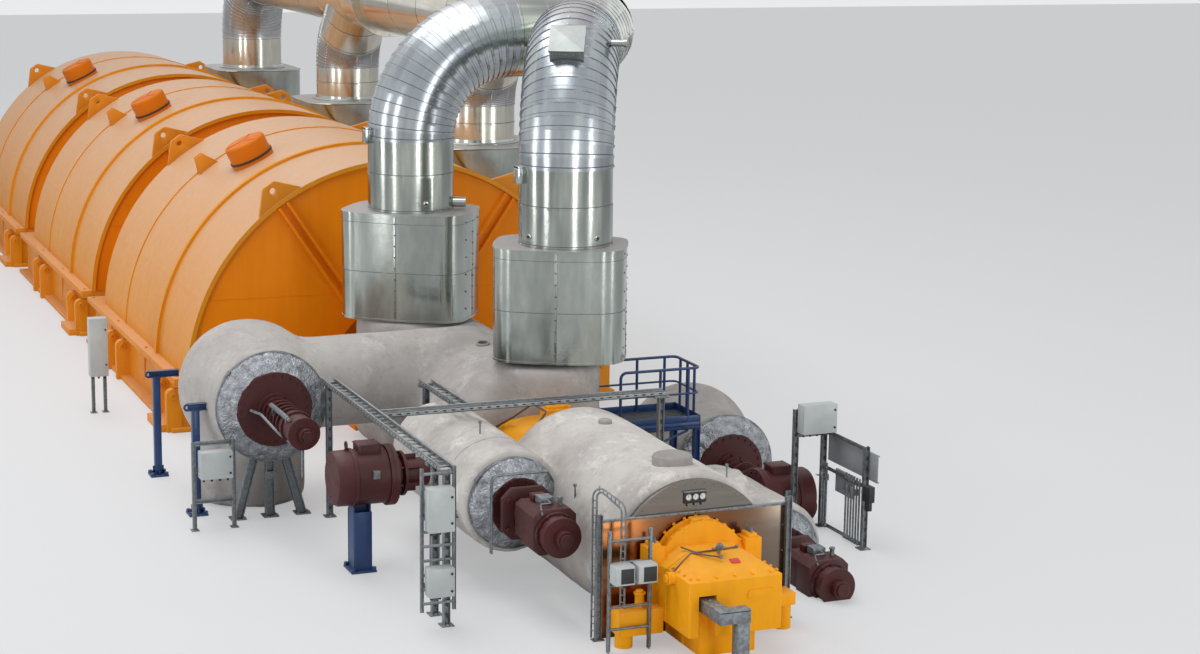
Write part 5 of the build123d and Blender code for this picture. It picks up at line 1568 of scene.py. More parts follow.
# %% Front pedestal
softened("front_pedestal", 0.009, enamel_front)
softened("pedestal_rear", 0.007, enamel_front)
front_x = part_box("front_pedestal")[1].x
eave_z, ridge_z, roof_start, half_wide, eave_x = 0.541, 0.640, 4.56, 0.335, 4.885
slope_front = Vector((ridge_z - eave_z, 0, front_x - 0.05 - roof_start)).normalized()
print("the pedestal's roof falls", round(degrees(slope_front.angle((0, 0, 1))), 1), "degrees")


def eave_nuts(bm):
    """Nuts along the front eave and both side eaves of the lid."""
    for index in range(-2, 3):
        stamp(bm, nut, [facing((eave_x, 0.13 * index, eave_z + 0.012), slope_front)])
    for index in range(4):
        x = roof_start + 0.05 + index * 0.088
        for side in (-1, 1):
            stamp(bm, nut, [facing((x, side * (half_wide - 0.025), eave_z + 0.017), (0, side * 0.45, 0.89))])


def cap_and_blocks(bm):
    """Nuts on both rims of the cap, a pad on its top, and a block with four studs on each side of it."""
    block_y, block_start, block_end, block_z = 0.355, 4.312, 4.430, 0.64
    for x in (4.2733, 4.3913):
        cap_nuts(bm, x, 0.314, 75)
    for side in (-1, 1):
        y = side * block_y
        cut_block(bm, (block_start, y - 0.035, block_z), (block_end, y + 0.035, block_z + 0.036), 0.010, 2)
        for index in range(4):
            x = block_start + 0.013 + 0.027 * index
            rod(bm, (x, y, block_z + 0.03), (x, y, block_z + 0.075), 0.007, 8, 2)
    cut_block(bm, (4.29, -0.07, 0.75), (4.37, 0.07, 0.80), 0.015, 2)


def caps_and_pad(bm):
    """Breather and cap on the wings, a blind cover on the left side, and the long pad on the front."""
    wing_x, wing_top = 4.441, 0.258
    breather = [(0, 0.09, 0.032), (0.09, 0.105, 0.040), (0.105, 0.12, 0.026)]
    turned(bm, stepped(breather), (wing_x, -0.475, wing_top), (0, 0, 1), 28)
    turned(bm, stepped([(0, 0.05, 0.030), (0.05, 0.062, 0.024)]), (wing_x, 0.50, wing_top), (0, 0, 1), 28)
    turned(bm, stepped([(0, 0.014, 0.045), (0.014, 0.030, 0.028)]), (4.682, -0.375, 0.517), (0, -1, 0), 28)
    part = cube((-0.01, -0.095, -0.031), (0.01, 0.095, 0.031))
    round_edges(part, edges_along(part, 0), 0.03, 8)
    join(bm, part, Matrix.Translation((front_x - 0.012, 0.175, 0.43)))


bm = bmesh.new()
eave_nuts(bm)
cap_and_blocks(bm)
caps_and_pad(bm)
finish_piece(bm, "pedestal_bolts", [enamel_front, copper, zinc])

# %% Oil lines on the pedestal
line_bend, line_radius = 0.018, 0.006


def make_oil_lines():
    """Two thin lines over the roof, their unions, one valve with its grip, and a small red plate."""
    left_line = [(4.47, -0.30, 0.40), (4.60, -0.342, 0.47), (4.66, -0.342, 0.545), (4.62, -0.25, 0.60),
                 (4.60, -0.18, 0.646), (4.72, -0.02, 0.634)]
    right_line = [(4.58, 0.16, 0.648), (4.60, 0.02, 0.648), (4.61, -0.15, 0.648), (4.50, -0.21, 0.66)]
    valve_body = stepped([(0, 0.03, 0.014), (0.03, 0.062, 0.024), (0.062, 0.070, 0.018)])
    bm = bmesh.new()
    for line in (left_line, right_line):
        bent_tube(bm, line, line_bend, line_radius, 8)
    for place in (left_line[0], left_line[-1], (4.58, 0.16, 0.646)):
        turned(bm, stepped([(-0.012, 0.014, 0.011)]), place, (0, 0, 1), 6, 1)
    turned(bm, valve_body, (4.64, 0.0, 0.64), (0.3, 0, 1), 20, 1)
    rod(bm, (4.645, -0.05, 0.675), (4.645, 0.05, 0.675), 0.007, 10, 1)
    tilt = Matrix.Translation((4.735, 0.075, 0.6045)) @ Matrix.Rotation(slope_front.angle((0, 0, 1)), 4, "Y")
    slab(bm, (-0.024, -0.032, 0), (0.024, 0.032, 0.004), 0.001, 2, tilt)
    finish_piece(bm, "pedestal_oil_lines", [copper, zinc, plate_red])


make_oil_lines()

# %% [markdown]
# A steel sheet stands behind the pedestal as a splash wall. It is smooth enough to show the orange housing a
# second time, blurred, and a painted orange-brown reflection in its colour adds to that. Two galvanised posts
# and a folded top edge hold it. Above it, three dials look out of a dark panel.

# %% Splash wall and dials
screen_x, screen_half, screen_top, post = 4.25, 0.68, 0.825, 0.04
dial_pitch, dial_radius = 0.052, 0.021


def make_splash_wall():
    """Sheet, folded top edge, two posts on foot plates, and screws along the edges."""
    bm = bmesh.new()
    half, top, post_x = screen_half, screen_top, screen_x + post / 2
    slab(bm, (screen_x, -half, 0.004), (screen_x + 0.008, half, top - 0.004), 0.001)
    slab(bm, (screen_x, -half, top - 0.018), (screen_x + 0.020, half, top), 0.002, 1)
    for side in (-1, 1):
        y = side * (half + post / 2)
        beam(bm, (post_x, y, 0), (post_x, y, top + post), post, 0.005, (0, 1, 0), 1)
        slab(bm, (screen_x - 0.01, y - 0.04, 0), (screen_x + 0.05, y + 0.04, 0.008), 0.001, 1)
        for z in (0.12, 0.30, 0.48, 0.66, 0.78):
            stamp(bm, screw, [facing((screen_x + 0.008, side * (half - 0.012), z), (1, 0, 0))])
    for index in range(-2, 3):
        stamp(bm, screw, [facing((screen_x + 0.020, 0.25 * index, top - 0.009), (1, 0, 0))])
    finish_piece(bm, "splash_wall", [mirror, zinc], ["front_screen"])


def dial(bm, place, stem_foot):
    """Bezel, white face, needle, and a stem with its union below the panel."""
    x, y, _ = place
    turned(bm, [(0, 0), (0, 0.024), (0.012, 0.024), (0.012, 0.020), (0.008, 0.020)], place, (1, 0, 0), 28, 2)
    turned(bm, [(0, 0), (0, dial_radius), (0.0085, dial_radius), (0.0085, 0)], place, (1, 0, 0), 28, 1)
    needle = Matrix.Translation(place) @ Matrix.Rotation(radians(35 + 400 * y), 4, "X")
    slab(bm, (0.0085, -0.0012, -0.003), (0.0098, 0.0012, 0.015), 0, 0, needle)
    rod(bm, (x + 0.004, y, stem_foot - 0.022), (x + 0.004, y, stem_foot + 0.002), 0.006, 10, 2)
    turned(bm, stepped([(0, 0.008, 0.009)]), (x + 0.004, y, stem_foot - 0.018), (0, 0, 1), 6, 2)


def make_dial_panel():
    """Dark panel with a zinc hood over three dials."""
    low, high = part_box("gauge_panel")
    bm = bmesh.new()
    slab(bm, low, high, 0.003)
    slab(bm, (low.x, low.y - 0.004, high.z - 0.006), (high.x + 0.006, high.y + 0.004, high.z + 0.004),
         0.001, 2)
    for number in (-1, 0, 1):
        dial(bm, (high.x - 0.002, number * dial_pitch, low.z + 0.045), low.z)
    finish_piece(bm, "dial_panel", [dark, pale, zinc], ["gauge_panel"])


make_splash_wall()
make_dial_panel()

# %% [markdown]
# The end of the high-pressure casing is a bare steel plate, ringed by the plaster's edge, which is a rolled
# lip of its own. A thin ring of bolts holds the plate.

# %% Casing end plate
end_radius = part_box("high_end_plate")[1].z - shaft_z
print("end plate radius", round(end_radius, 3))
end_ring = [(0, 0), (0, end_radius - 0.004), (0.006, end_radius - 0.004), (0.012, end_radius - 0.012),
            (0.012, end_radius - 0.034), (0.006, end_radius - 0.040), (0.006, 0)]
bm = bmesh.new()
turned(bm, end_ring, (screen_x - 0.013, 0, shaft_z), (1, 0, 0), 96)
bolt_circle(bm, screw, (screen_x - 0.001, 0, shaft_z), (1, 0, 0), end_radius - 0.023, 48)
above_floor(bm)
finish_piece(bm, "end_plate_ring", [steel])

# %% [markdown]
# Galvanised trays carry the instrument wiring between the casings. A tray is two folded sides and rungs, open
# above and below. Building each rung makes it light and see-through, which a plain channel isn't.

# %% Cable trays and their posts
tray_top, tray_bottom, tray_half, tray_wall, tray_fold = 1.12, 1.082, 0.055, 0.006, 0.016
rung_step, slot_step, post_slot_step = 0.11, 0.07, 0.08
tray_runs = [((0.74, -1.545, 0), (3.65, -1.545, 0)), ((1.985, -1.49, 0), (1.985, 0.79, 0)),
             ((1.03, -0.84, 0), (1.93, -0.84, 0))]


def tray(bm, start, end):
    """Ladder tray between two points on its middle line, with slots in its sides: thin dark plates of painted
    shade, not holes.
    """
    start, end = Vector(start), Vector(end)
    along = (end - start).normalized()
    across = Vector((-along.y, along.x, 0))
    length = (end - start).length
    turn = Matrix((along, across, rise(1))).transposed().to_4x4()
    matrix = Matrix.Translation(start) @ turn
    for side in (-1, 1):
        y0, y1 = sorted((side * tray_half, side * (tray_half - tray_wall)))
        slab(bm, (0, y0, tray_bottom), (length, y1, tray_top), 0.001, 0, matrix)
        for z in (tray_bottom, tray_top - tray_wall):
            y0, y1 = sorted((side * tray_half, side * (tray_half - tray_fold)))
            slab(bm, (0, y0, z), (length, y1, z + tray_wall), 0.001, 0, matrix)
    rung_y = tray_half - 0.004
    for index in range(int(length / rung_step)):
        at = rung_step * (index + 0.5)
        slab(bm, (at, -rung_y, tray_bottom + 0.006), (at + 0.020, rung_y, tray_bottom + 0.016), 0, 0, matrix)
    for index in range(int(length / slot_step)):
        at = slot_step * (index + 0.5)
        for side in (-1, 1):
            y0, y1 = sorted((side * (tray_half + 0.0006), side * (tray_half - 0.002)))
            slab(bm, (at, y0, tray_bottom + 0.014), (at + 0.028, y1, tray_bottom + 0.024), 0, 1, matrix)


def strut_post(bm, x, y, top, size=0.045):
    """Slotted channel post with a foot plate and two anchor bolts. Its slots are thin dark plates of painted
    shade.
    """
    beam(bm, (x, y, 0), (x, y, top), size, 0.005, (0, 1, 0))
    pad(bm, x, y, 0.045, 0.045, 0, 0.008)
    stand(bm, nut, [(x + shift, y, 0.008) for shift in (-0.034, 0.034)])
    for index in range(int(top / post_slot_step)):
        z = 0.06 + index * post_slot_step
        slab(bm, (x + size / 2 - 0.001, y - 0.006, z), (x + size / 2 + 0.0008, y + 0.006, z + 0.03), 0, 1)


def plan_middle(low, high):
    """Middle of a box on the floor plan."""
    return (low.x + high.x) / 2, (low.y + high.y) / 2


bm = bmesh.new()
for start, end in tray_runs:
    tray(bm, start, end)
finish_piece(bm, "ladder_trays", [tray_zinc, dark], ["cable_trays"])
bm = bmesh.new()
for low, high in loose_boxes("tray_posts"):
    x, y = plan_middle(low, high)
    strut_post(bm, x, y, tray_bottom + 0.004)
    pad(bm, x, y, 0.03, 0.06, tray_bottom - 0.02, tray_bottom + 0.001, 0.002)
finish_piece(bm, "tray_strut_posts", [zinc, dark], ["tray_posts"])

# %% Drop ladder for cables
bm = bmesh.new()
drop_low, drop_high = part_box("cable_ladder")
side_size, side_x_shift, rung_count, rung_pitch = 0.022, 0.0125, 10, 0.1
for y in (drop_low.y + side_size / 2, drop_high.y - side_size / 2):
    x = drop_low.x + side_x_shift
    beam(bm, (x, y, drop_low.z), (x, y, drop_high.z), side_size, 0.004, (0, 1, 0))
for index in range(rung_count):
    z = drop_low.z + 0.05 + index * rung_pitch
    slab(bm, (drop_low.x + 0.005, drop_low.y + 0.01, z), (drop_low.x + 0.019, drop_high.y - 0.01, z + 0.018),
         0.001)
finish_piece(bm, "drop_ladder", [zinc], ["cable_ladder"])

# %% [markdown]
# Switch boxes are folded sheet: a body, a door that stands a little proud with a dark gap round it, two
# quarter-turn locks, and glands along the bottom. The gap is a dark sheet just inside the door's edge:
# painted shade. All of them face the front end, so one function dresses every box at the place its CAD
# solid gives.

# %% Switch boxes
lock = stepped([(0, 0.005, 0.009), (0.005, 0.008, 0.005)], 0.001)
gland = stepped([(0, 0.010, 0.014), (0.010, 0.026, 0.010)], 0.001)
gauge_gland = stepped([(0, 0.016, 0.011), (0.016, 0.03, 0.007)], 0.001)
gland_pitch, window_half_y, window_half_z, frame_width = 0.055, 0.040, 0.044, 0.006


def door(bm, low, high, back, front, inset, bevel, finish=0):
    """Sheet in front of a box, a little smaller than its face."""
    slab(bm, (high.x - back, low.y + inset, low.z + inset), (high.x - front, high.y - inset, high.z - inset),
         bevel, finish)


def enclosure(bm, low, high):
    """Folded box with a door to the front, locks, hinges and glands."""
    slab(bm, low, high - Vector((0.014, 0, 0)), 0.006)
    # A dark sheet a little smaller than the face, behind the door, gives the gap round it: painted shade.
    door(bm, low, high, 0.016, 0.008, 0.006, 0, 1)
    door(bm, low, high, 0.012, 0, 0.001, 0.004)
    hinge_x, hinge_y = high.x - 0.006, low.y + 0.004
    for z in (low.z + 0.2 * (high.z - low.z), high.z - 0.2 * (high.z - low.z)):
        turned(bm, lock, (high.x, high.y - 0.022, z), (1, 0, 0), 14, 1)
        rod(bm, (hinge_x, hinge_y, z - 0.015), (hinge_x, hinge_y, z + 0.015), 0.004, 8)
    count = max(2, int((high.y - low.y) / gland_pitch))
    for index in range(count):
        y = low.y + (index + 0.5) * (high.y - low.y) / count
        turned(bm, gland, (plan_middle(low, high)[0], y, low.z), (0, 0, -1), 12, 1)


def gauge_case(bm, low, high):
    """Case with a framed dark window, two screws and one gland."""
    middle_x, middle_y = plan_middle(low, high)
    middle_y, middle_z = middle_y + 0.014, (low.z + high.z) / 2
    slab(bm, low, high - Vector((0.010, 0, 0)), 0.008)
    door(bm, low, high, 0.012, 0, 0.003, 0.004)
    for start, end, rim in ((-0.002, 0.002, frame_width), (0, 0.0026, 0)):
        half_y, half_z = window_half_y + rim, window_half_z + rim
        slab(bm, (high.x + start, middle_y - half_y, middle_z - half_z),
             (high.x + end, middle_y + half_y, middle_z + half_z), 0.001, 1)
    for side in (-1, 1):
        stamp(bm, screw, [facing((high.x, low.y + 0.012, middle_z + side * 0.048), (1, 0, 0))])
    turned(bm, gauge_gland, (middle_x, middle_y, low.z), (0, 0, -1), 12, 1)


bm = bmesh.new()
for low, high in loose_boxes("switch_boxes"):
    enclosure(bm, low, high)
finish_piece(bm, "switch_enclosures", [grey_box, dark], ["switch_boxes"])
bm = bmesh.new()
for low, high in loose_boxes("gauge_boxes"):
    gauge_case(bm, low, high)
finish_piece(bm, "gauge_cases", [grey_box, dark, zinc], ["gauge_boxes"])

# %% [markdown]
# Ladders, stands and brackets are galvanised sections bolted together. The wall ladder has angle sides and
# round rungs. The wire arch beside it is two bent tubes with short rungs between them.

# %% Wall ladder and wire arch
arch_start, arch_end, arch_ladder = Vector((4.20, -0.718, 0)), Vector((4.445, -0.585, 0)), 0.034
arch_high_z, arch_low_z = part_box("handrail_arch")[1].z - 0.007, 0.965
arch_bend, arch_pitch = 0.075, 0.05


def make_wall_ladder():
    """Two angle sides, round rungs, and two rails that carry the gauge boxes."""
    low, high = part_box("front_ladder")
    bm = bmesh.new()
    for y in (low.y, high.y - 0.030):
        slab(bm, (low.x, y, 0.004), (low.x + 0.040, y + 0.008, high.z), 0.001)
        slab(bm, (low.x, y, 0.004), (low.x + 0.006, y + 0.030, high.z), 0.001)
    rung_x = low.x + 0.022
    for index in range(5):
        z = (index + 1) * high.z / 5.5 + 0.01
        rod(bm, (rung_x, low.y + 0.004, z), (rung_x, high.y - 0.02, z), 0.010, 14)
    for z in (0.522, 0.585):
        slab(bm, (low.x + 0.020, low.y - 0.004, z), (low.x + 0.040, low.y + 0.32, z + 0.022), 0.001)
    finish_piece(bm, "wall_ladder", [zinc], ["front_ladder"])


def make_wire_arch():
    """Two bent tubes, one inside the other, with short rungs up both legs and along the slope."""
    way = (arch_end - arch_start).normalized()
    bm = bmesh.new()
    for drop in (0, arch_ladder):
        foot, far_foot = arch_start + way * drop, arch_end - way * drop
        knees = [foot + rise(arch_high_z - drop), far_foot + rise(arch_low_z - drop)]
        route = [foot, *knees, far_foot]
        bent_tube(bm, route, arch_bend - drop, 0.007, 10)
    for foot, inward, top in ((arch_start, way, 0.98), (arch_end, -way, 0.88)):
        for index in range(int(top / arch_pitch)):
            place = foot + rise(arch_pitch + index * arch_pitch)
            rod(bm, place, place + inward * arch_ladder, 0.004, 6)
    for index in range(6):
        share = 0.2 + index * 0.12
        z = arch_high_z + (arch_low_z - arch_high_z) * share
        place = arch_start.lerp(arch_end, share) + rise(z)
        rod(bm, place, place - rise(arch_ladder), 0.004, 6)
    finish_piece(bm, "wire_arch", [zinc], ["handrail_arch"])


make_wall_ladder()
make_wire_arch()

# %% Valve stand and box duct
stand_x, stand_y, stand_top, leg_spread = 0.59, -1.985, 0.575, 0.26


def make_valve_stand():
    """Three legs that lean together under a cross plate, each on its own foot."""
    bm = bmesh.new()
    for shift in (-1, 0, 1):
        foot_y = stand_y + shift * leg_spread
        head = (stand_x, stand_y + shift * 0.4 * leg_spread, stand_top)
        beam(bm, (stand_x, foot_y, 0), head, 0.068, 0.008, (0, 1, 0))
        pad(bm, stand_x, foot_y, 0.06, 0.06, 0, 0.012)
        stand(bm, nut, [(stand_x + 0.045, foot_y + side * 0.045, 0.012) for side in (-1, 1)])
    pad(bm, stand_x, stand_y, 0.035, 0.15, stand_top - 0.03, stand_top, 0.002)
    slab(bm, (stand_x + 0.030, stand_y - 0.045, 0.31), (stand_x + 0.037, stand_y + 0.045, 0.37), 0.001)
    above_floor(bm)
    finish_piece(bm, "valve_stand", [zinc], ["mid_left_stand"])


def make_box_duct():
    """Duct from the pedestal, round a corner and down to the floor, with loose lids and a screwed panel."""
    low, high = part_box("front_duct")
    wide, top, lid, lap = 0.090, 0.43, 0.016, 0.003
    elbow_x, corner_y, drop_y = high.x - wide, low.y + wide, high.y - wide
    bm = bmesh.new()
    slab(bm, (low.x, low.y, top - wide), (high.x, corner_y, top - 0.006), 0.003)
    slab(bm, (low.x, low.y - lap, top - lid), (high.x, corner_y + lap, top), 0.002)
    slab(bm, (elbow_x, corner_y, top - wide), (high.x, high.y, top - 0.006), 0.003)
    slab(bm, (elbow_x - lap, corner_y, top - lid), (high.x, high.y, top), 0.002)
    slab(bm, (elbow_x, drop_y + 0.001, 0.004), (high.x - 0.006, high.y - 0.001, top - wide + 0.002), 0.003)
    panel_x = high.x - 0.004
    slab(bm, (elbow_x + 0.02, drop_y + 0.006, 0.006), (panel_x, high.y - 0.006, top - wide - 0.01), 0.001)
    for z in (0.06, 0.20, 0.32):
        stamp(bm, screw, [facing((panel_x, y, z), (1, 0, 0)) for y in (drop_y + 0.02, high.y - 0.02)])
    for index in range(4):
        stand(bm, screw, [(low.x + 0.06 + index * 0.09, low.y + wide / 2, top)])
    finish_piece(bm, "box_duct", [zinc], ["front_duct"])


make_valve_stand()
make_box_duct()

# %% [markdown]
# The access platform is blue painted steel: a deck of grating in a channel frame, tube rails with bent
# corners, toe plates, and H posts on foot plates. Grating is thin upright bars tied by cross rods, so the
# deck really is open.

# %% Platform deck
deck_low, deck_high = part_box("platform_deck")
web, flange, flange_plate, bar_pitch = 0.006, 0.028, 0.005, 0.018


def make_deck():
    """Channel frame, upright bars and the rods that tie them."""
    bm = bmesh.new()
    for y in (deck_low.y, deck_high.y - web):
        slab(bm, (deck_low.x, y, deck_low.z), (deck_high.x, y + web, deck_high.z), 0.001)
    for x in (deck_low.x, deck_high.x - web):
        slab(bm, (x, deck_low.y, deck_low.z), (x + web, deck_high.y, deck_high.z), 0.001)
    for z in (deck_low.z, deck_high.z - 0.030):
        for y in (deck_low.y, deck_high.y - flange):
            slab(bm, (deck_low.x, y, z), (deck_high.x, y + flange, z + flange_plate))
        for x in (deck_low.x, deck_high.x - flange):
            slab(bm, (x, deck_low.y, z), (x + flange, deck_high.y, z + flange_plate))
    bars = int((deck_high.y - deck_low.y) / bar_pitch)
    bar_start, bar_end = deck_low.x + web, deck_high.x - web
    for index in range(1, bars):
        y = deck_low.y + index * (deck_high.y - deck_low.y) / bars
        slab(bm, (bar_start, y - 0.0015, deck_high.z - 0.024), (bar_end, y + 0.0015, deck_high.z - 0.001),
             0, 1)
    tie_z = deck_high.z - 0.005
    for index in range(1, 10):
        x = deck_low.x + index * (deck_high.x - deck_low.x) / 10
        rod(bm, (x, deck_low.y + web, tie_z), (x, deck_high.y - web, tie_z), 0.003, 6, 1)
    finish_piece(bm, "platform_grating", [blue, zinc], ["platform_deck"])


make_deck()

# %% Platform rails and posts
rail_radius, rail_bend, rail_inset = 0.012, 0.05, 0.012
knee_height, toe_height, toe_plate = 0.24, 0.055, 0.004


def rail_foot(bm, x, y):
    """Small plate that a rail post stands on."""
    pad(bm, x, y, 0.022, 0.022, deck_high.z, deck_high.z + 0.006)


def make_rails():
    """Top rail and knee rail with bent corners, upright posts and toe plates on three sides."""
    left, right = deck_low.x + rail_inset, deck_high.x - rail_inset
    near, far = deck_low.y + rail_inset, deck_high.y - rail_inset
    middle = (near + far) / 2
    deck_z, top = deck_high.z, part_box("platform_railings")[1].z - rail_radius
    knee = deck_z + knee_height
    bm = bmesh.new()
    bent_tube(bm, [(left, near, deck_z), (left, near, top), (left, far, top), (right, far, top),
                   (right, near, top), (right, near, deck_z)], rail_bend, rail_radius)
    bent_tube(bm, [(left, near, knee), (left, far, knee), (right, far, knee), (right, near, knee)],
              rail_bend, 0.009)
    for x in (left, right):
        for y in (middle, far - 0.10):
            rod(bm, (x, y, deck_z), (x, y, top), rail_radius, 14)
        for y in (near, middle, far - 0.10):
            rail_foot(bm, x, y)
    for x in (left + 0.10, (left + right) / 2, right - 0.10):
        rod(bm, (x, far, deck_z), (x, far, top), rail_radius, 14)
        rail_foot(bm, x, far)
    toe_top = deck_z + toe_height
    for x in (deck_low.x + 0.002, deck_high.x - 0.006):
        slab(bm, (x, deck_low.y, deck_z), (x + toe_plate, deck_high.y, toe_top), 0.001)
    slab(bm, (deck_low.x, deck_high.y - 0.006, deck_z), (deck_high.x, deck_high.y - 0.002, toe_top), 0.001)
    finish_piece(bm, "platform_rails", [blue], ["platform_railings"])


def make_platform_posts():
    """H posts with head and foot plates, and two braces under the deck."""
    bm = bmesh.new()
    for low, high in loose_boxes("platform_posts"):
        x, y = plan_middle(low, high)
        beam(bm, (x, y, 0), (x, y, deck_low.z), 0.05, 0.006, (0, 1, 0))
        pad(bm, x, y, 0.025, 0.025, deck_low.z - 0.008, deck_low.z)
        slab(bm, (x - 0.025, y - 0.05, 0), (x + 0.05, y + 0.05, 0.010), 0.001)
        stand(bm, nut, [(x + 0.036, y + side * 0.036, 0.010) for side in (-1, 1)])
    for x in (deck_low.x + 0.025, deck_high.x - 0.025):
        rod(bm, (x, deck_low.y + 0.05, deck_low.z - 0.22), (x, deck_high.y - 0.10, deck_low.z - 0.01),
            0.010, 10)
    finish_piece(bm, "platform_h_posts", [blue], ["platform_posts"])


make_rails()
make_platform_posts()

# %% [markdown]
# Blue posts hold the pipes and valves from the side. The post is a square tube, its level arm a short H
# section with an eye at the free end, and a foot plate with four nuts stands under it.

# %% Support posts
support_posts = ((-0.944, -2.55, 0.90), (0.352, -2.512, 0.90), (2.85, -1.369, 0.575))
tube_half, arm_size, arm_back, arm_reach = 0.030, 0.055, 0.060, 0.187


def four_nuts(bm, x, y, out_x, out_y, z):
    """Large nuts at the corners of a foot plate."""
    for way in (-1, 1):
        stand(bm, large_nut, [(x + way * out_x, y - out_y, z), (x + way * out_x, y + out_y, z)])


def support_post(bm, x, y, height):
    """Square tube, foot plate with gussets, and an arm with an eye."""
    pad(bm, x, y, tube_half, tube_half, 0, height - 0.05, 0.006)
    pad(bm, x, y, 0.075, 0.075, 0, 0.014, 0.002)
    four_nuts(bm, x, y, 0.056, 0.056, 0.014)
    for turn in range(4):
        matrix = Matrix.Translation((x, y, 0)) @ Matrix.Rotation(turn * pi / 2, 4, "Z")
        for reach, top in ((0.064, 0.045), (0.046, 0.085)):
            slab(bm, (tube_half - 0.002, -0.004, 0.012), (reach, 0.004, top), 0.001, 0, matrix)
    arm_z = height - arm_size / 2
    beam(bm, (x, y - arm_back, arm_z), (x, y + arm_reach, arm_z), arm_size, 0.007, (0, 0, 1))
    pad(bm, x, y, 0.034, 0.034, height - 0.060, height - 0.054)
    slab(bm, (x - arm_size / 2, y + arm_reach - 0.007, height - arm_size),
         (x + arm_size / 2, y + arm_reach, height), 0.001)
    turned(bm, [(-0.008, 0.014), (-0.008, 0.030), (0.008, 0.030), (0.008, 0.014), (-0.008, 0.014)],
           (x, y - arm_back - 0.003, height - 0.030), (1, 0, 0), 28)


def side_drum_post(bm, low, high):
    """Wide post of an actuator, made of two channels with plates between them."""
    x, y = plan_middle(low, high)
    half_x, half_y = (high.x - low.x) / 2, (high.y - low.y) / 2
    beam(bm, (x, y, 0), (x, y, high.z), 2 * half_y, 0.010, (0, 1, 0))
    for start in (x - half_x, x + half_x - 0.012):
        slab(bm, (start, y - half_y, 0), (start + 0.012, y + half_y, high.z - 0.05), 0.002)
    slab(bm, (x - half_x - 0.02, y - half_y - 0.03, 0), (x + half_x + 0.02, y + half_y + 0.03, 0.016), 0.002)
    four_nuts(bm, x, y, half_x + 0.002, half_y + 0.012, 0.016)


bm = bmesh.new()
for x, y, height in support_posts:
    support_post(bm, x, y, height)
finish_piece(bm, "arm_posts", [blue], ["blue_posts"])
bm = bmesh.new()
for low, high in loose_boxes("side_posts"):
    side_drum_post(bm, low, high)
finish_piece(bm, "drum_posts", [blue], ["side_posts"])

# %% [markdown]
# The instrument rack on the right is strut channel with flat panels. Thin tubes run down between two rails,
# each held by clamps, with small needle valves near the top of some of them.

# %% Instrument rack
rack_y, rack_xs, rack_top = 2.01, (2.32, 3.0), 0.80
box_post_x, box_post_y, box_post_top = 2.44, 1.697, 0.99
tube_y, tube_pitch, tube_groups = 1.9837, 0.042, ((2.35, 3), (2.75, 6))
needle_z = 0.425


def make_rack_frame():
    """Two strut posts with three angle rails, and a third post for the box, tied by one rail."""
    bm = bmesh.new()
    for x, y, top in ((rack_xs[0], rack_y, rack_top), (rack_xs[1], rack_y, rack_top),
                      (box_post_x, box_post_y, box_post_top)):
        strut_post(bm, x, y, top, 0.040)
    for z in (0.02, 0.48, 0.77):
        slab(bm, (rack_xs[0], rack_y - 0.015, z), (rack_xs[1], rack_y - 0.010, z + 0.030), 0.001)
        slab(bm, (rack_xs[0], rack_y - 0.015, z), (rack_xs[1], rack_y + 0.015, z + 0.005), 0.001)
    slab(bm, (box_post_x - 0.015, box_post_y, 0.77), (box_post_x + 0.015, rack_y, 0.80), 0.002)
    finish_piece(bm, "rack_frame", [zinc, dark], ["right_rack"])


def make_rack_sheets():
    """Flat panels with folded edges and six screws each."""
    bm = bmesh.new()
    for low, high in loose_boxes("rack_panels"):
        slab(bm, low, high, 0.002)
        for z in (low.z, high.z - 0.012):
            slab(bm, (low.x, high.y - 0.002, z), (high.x, high.y + 0.010, z + 0.012), 0.001)
        for x in (low.x + 0.02, (low.x + high.x) / 2, high.x - 0.02):
            for z in (low.z + 0.025, high.z - 0.025):
                stamp(bm, screw, [facing((x, low.y, z), (0, -1, 0))])
    finish_piece(bm, "rack_sheets", [sheet_grey], ["rack_panels"])


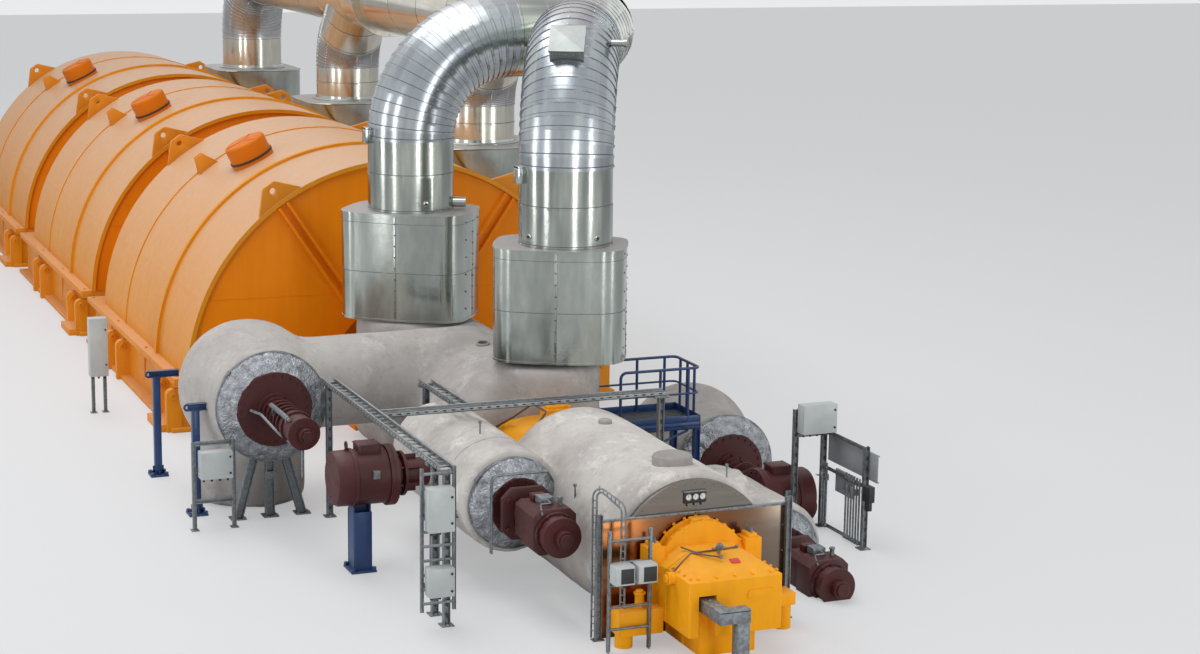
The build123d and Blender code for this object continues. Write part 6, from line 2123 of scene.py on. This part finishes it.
def make_rack_pipework():
    """Thin tubes in clamps, needle valves on every second one, and a small manifold at the side."""
    bm = bmesh.new()
    for start, count in tube_groups:
        for index in range(count):
            x = start + tube_pitch * index
            rod(bm, (x, tube_y, 0.02), (x, tube_y, 0.54), 0.008, 12)
            for z in (0.022, 0.482):
                slab(bm, (x - 0.013, 1.972, z), (x + 0.013, 1.995, z + 0.026), 0.002)
            if index % 2 == 0:
                cut_block(bm, (x - 0.014, 1.968, 0.40), (x + 0.014, 1.999, 0.45), 0.004, 2)
                rod(bm, (x, 1.945, needle_z), (x, 1.97, needle_z), 0.005, 8)
                rod(bm, (x - 0.018, 1.945, needle_z), (x + 0.018, 1.945, needle_z), 0.004, 8)
    cut_block(bm, (3.05, 1.955, 0.40), (3.15, 2.015, 0.52), 0.010, 2, 1)
    cut_block(bm, (3.07, 1.965, 0.33), (3.13, 2.005, 0.40), 0.008, 2, 1)
    slab(bm, (rack_xs[1], 1.975, 0.44), (rack_xs[1] + 0.06, 1.999, 0.47), 0.002)
    finish_piece(bm, "rack_pipework", [zinc, dark], ["rack_tubes"])


make_rack_frame()
make_rack_sheets()
make_rack_pipework()

# %% Stands of the switch boxes
leg_size, leg_plate, cross_heights = 0.030, 0.004, (0.2125, 0.455, 0.67)


def box_stand(bm, low, high):
    """One leg or two on foot plates. Two legs are tied by angle rails that carry the boxes."""
    x = plan_middle(low, high)[0]
    for y in sorted({round(low.y + leg_size / 2, 4), round(high.y - leg_size / 2, 4)}):
        beam(bm, (x, y, 0), (x, y, high.z), leg_size, leg_plate, (0, 1, 0))
        pad(bm, x, y, 0.035, 0.03, 0, 0.006)
        stand(bm, screw, [(x + 0.024, y, 0.006)])
    if high.y - low.y > 0.1:
        for z in cross_heights:
            slab(bm, (low.x, low.y + leg_size, z), (low.x + 0.005, high.y - leg_size, z + leg_size), 0.001)
            slab(bm, (low.x, low.y + leg_size, z), (high.x, high.y - leg_size, z + 0.005), 0.001)


bm = bmesh.new()
for low, high in loose_boxes("box_stands"):
    box_stand(bm, low, high)
finish_piece(bm, "strut_stands", [zinc], ["box_stands"])

# %% [markdown]
